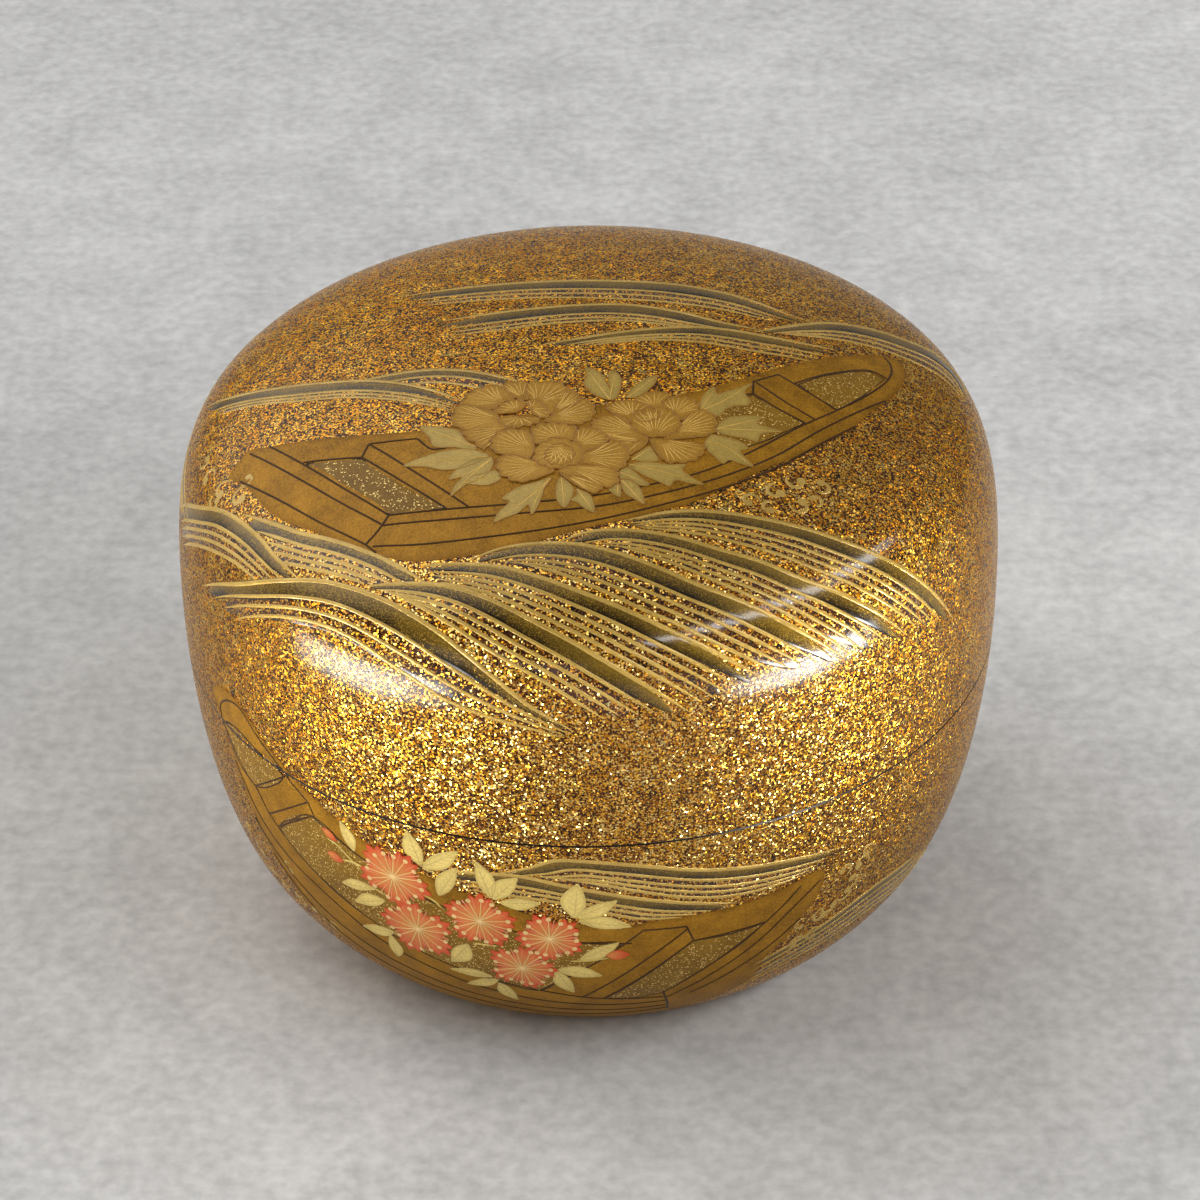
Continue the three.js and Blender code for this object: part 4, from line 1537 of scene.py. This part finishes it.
corners = [(-1, -1), (1, -1), (1, 1), (-1, 1)]
floor = mesh_object("floor", [(x * FLOOR_REACH, y * FLOOR_REACH, 0) for x, y in corners],
                    faces=[(0, 1, 2, 3)])
floor.data.materials.append(floor_finish())


def direction(turn, rise):
    """The direction round from the front and above the level, both in degrees."""
    a, e = math.radians(turn), math.radians(rise)
    return Vector((math.sin(a) * math.cos(e), -math.cos(a) * math.cos(e), math.sin(e)))


def panel(name, middle, aim, size, power, spread=180, along=(0, 0, 1)):
    """A soft light panel in mm: where it stands, what it faces, its width and height, and a line
    that its width runs along."""
    data = bpy.data.lights.new(name, "AREA")
    data.shape = "RECTANGLE"
    data.size, data.size_y = size[0] * MM, size[1] * MM
    data.energy = power
    data.spread = math.radians(spread)
    light = add_object(name, data)
    back = (Vector(middle) - Vector(aim)).normalized()
    across = Vector(along)
    across = (across - back * across.dot(back)).normalized()
    turn = Matrix((across, back.cross(across), back)).transposed()
    light.matrix_world = Matrix.Translation(Vector(middle) * MM) @ turn.to_4x4()
    light.visible_camera = False


PANEL_DISTANCE = 800
KEY_AIM, FILL_AIM = Vector((0, 0, 40)), Vector((0, 0, 35))
LEFT_LOW = dict(middle=(-92, -78, 20), aim=(-15, -36, 47), spread=60, along=(0.6, -0.8, 0.05))

key_middle = FILL_AIM + direction(60, 40) * PANEL_DISTANCE
fill_middle = FILL_AIM + direction(-24, 10) * PANEL_DISTANCE
panel("right_key", key_middle, KEY_AIM, (1110, 90), 3.7, along=(0.62, 0.75, 0.05))
panel("front_fill", fill_middle, FILL_AIM, (640, 160), 0.3,
      along=Vector((0, 0, 1)).cross(fill_middle - FILL_AIM))
panel("left_low_strip", size=(88, 19), power=0.017, **LEFT_LOW)
panel("left_low_core", size=(60, 6), power=0.002, **LEFT_LOW)
panel("right_low_strip", (96, -84, 22), (20, -36, 47), (90, 16), 0.017, spread=50,
      along=(0.6, 0.8, 0))


# A dim even room with broad soft glows: where each is, its width as a cosine, and its strength

EVEN_LIGHT = 0.10
GLOWS = [((-117, 43), 0.6, 2.05), ((108, 45), 0.58, 0.3), ((180, 4), 0.8, 0.3)]

world = bpy.data.worlds.new("studio")
world.use_nodes = True
tree = world.node_tree
toward = node(tree, "ShaderNodeTexCoord").outputs["Generated"]
strength = EVEN_LIGHT
for place, width, power in GLOWS:
    facing = vectors(tree, "DOT_PRODUCT", toward, direction(*place))
    glow = ranged(tree, facing, start=width, high=power, interpolation_type="SMOOTHSTEP")
    strength = maths(tree, "ADD", strength, glow)
join(tree, tree.nodes["Background"], {"Strength": strength, "Color": (1.0, 0.99, 0.97, 1)})
bpy.context.scene.world = world
bpy.context.scene.view_settings.view_transform = "Standard"


# The camera, which looks down at this rise and leans by this roll, both in radians

CAMERA_RISE, CAMERA_ROLL = 0.58747, 0.01599
CAMERA_AIM, CAMERA_DISTANCE = Vector((1.04, 0, 32.07)), 505.13

camera_data = bpy.data.cameras.new("camera")
camera_data.sensor_width = 36
camera_data.lens = 149.6
camera_data.clip_start, camera_data.clip_end = 0.01, 10
camera = add_object("camera", camera_data)
back = Vector((0, -math.cos(CAMERA_RISE), math.sin(CAMERA_RISE)))
right, up = Vector((1, 0, 0)), Vector((0, math.sin(CAMERA_RISE), math.cos(CAMERA_RISE)))
camera_right = right * math.cos(CAMERA_ROLL) - up * math.sin(CAMERA_ROLL)
camera_up = right * math.sin(CAMERA_ROLL) + up * math.cos(CAMERA_ROLL)
stand = CAMERA_AIM + back * CAMERA_DISTANCE
turn = Matrix((camera_right, camera_up, back)).transposed()
camera.matrix_world = Matrix.Translation(stand * MM) @ turn.to_4x4()
bpy.context.scene.camera = camera
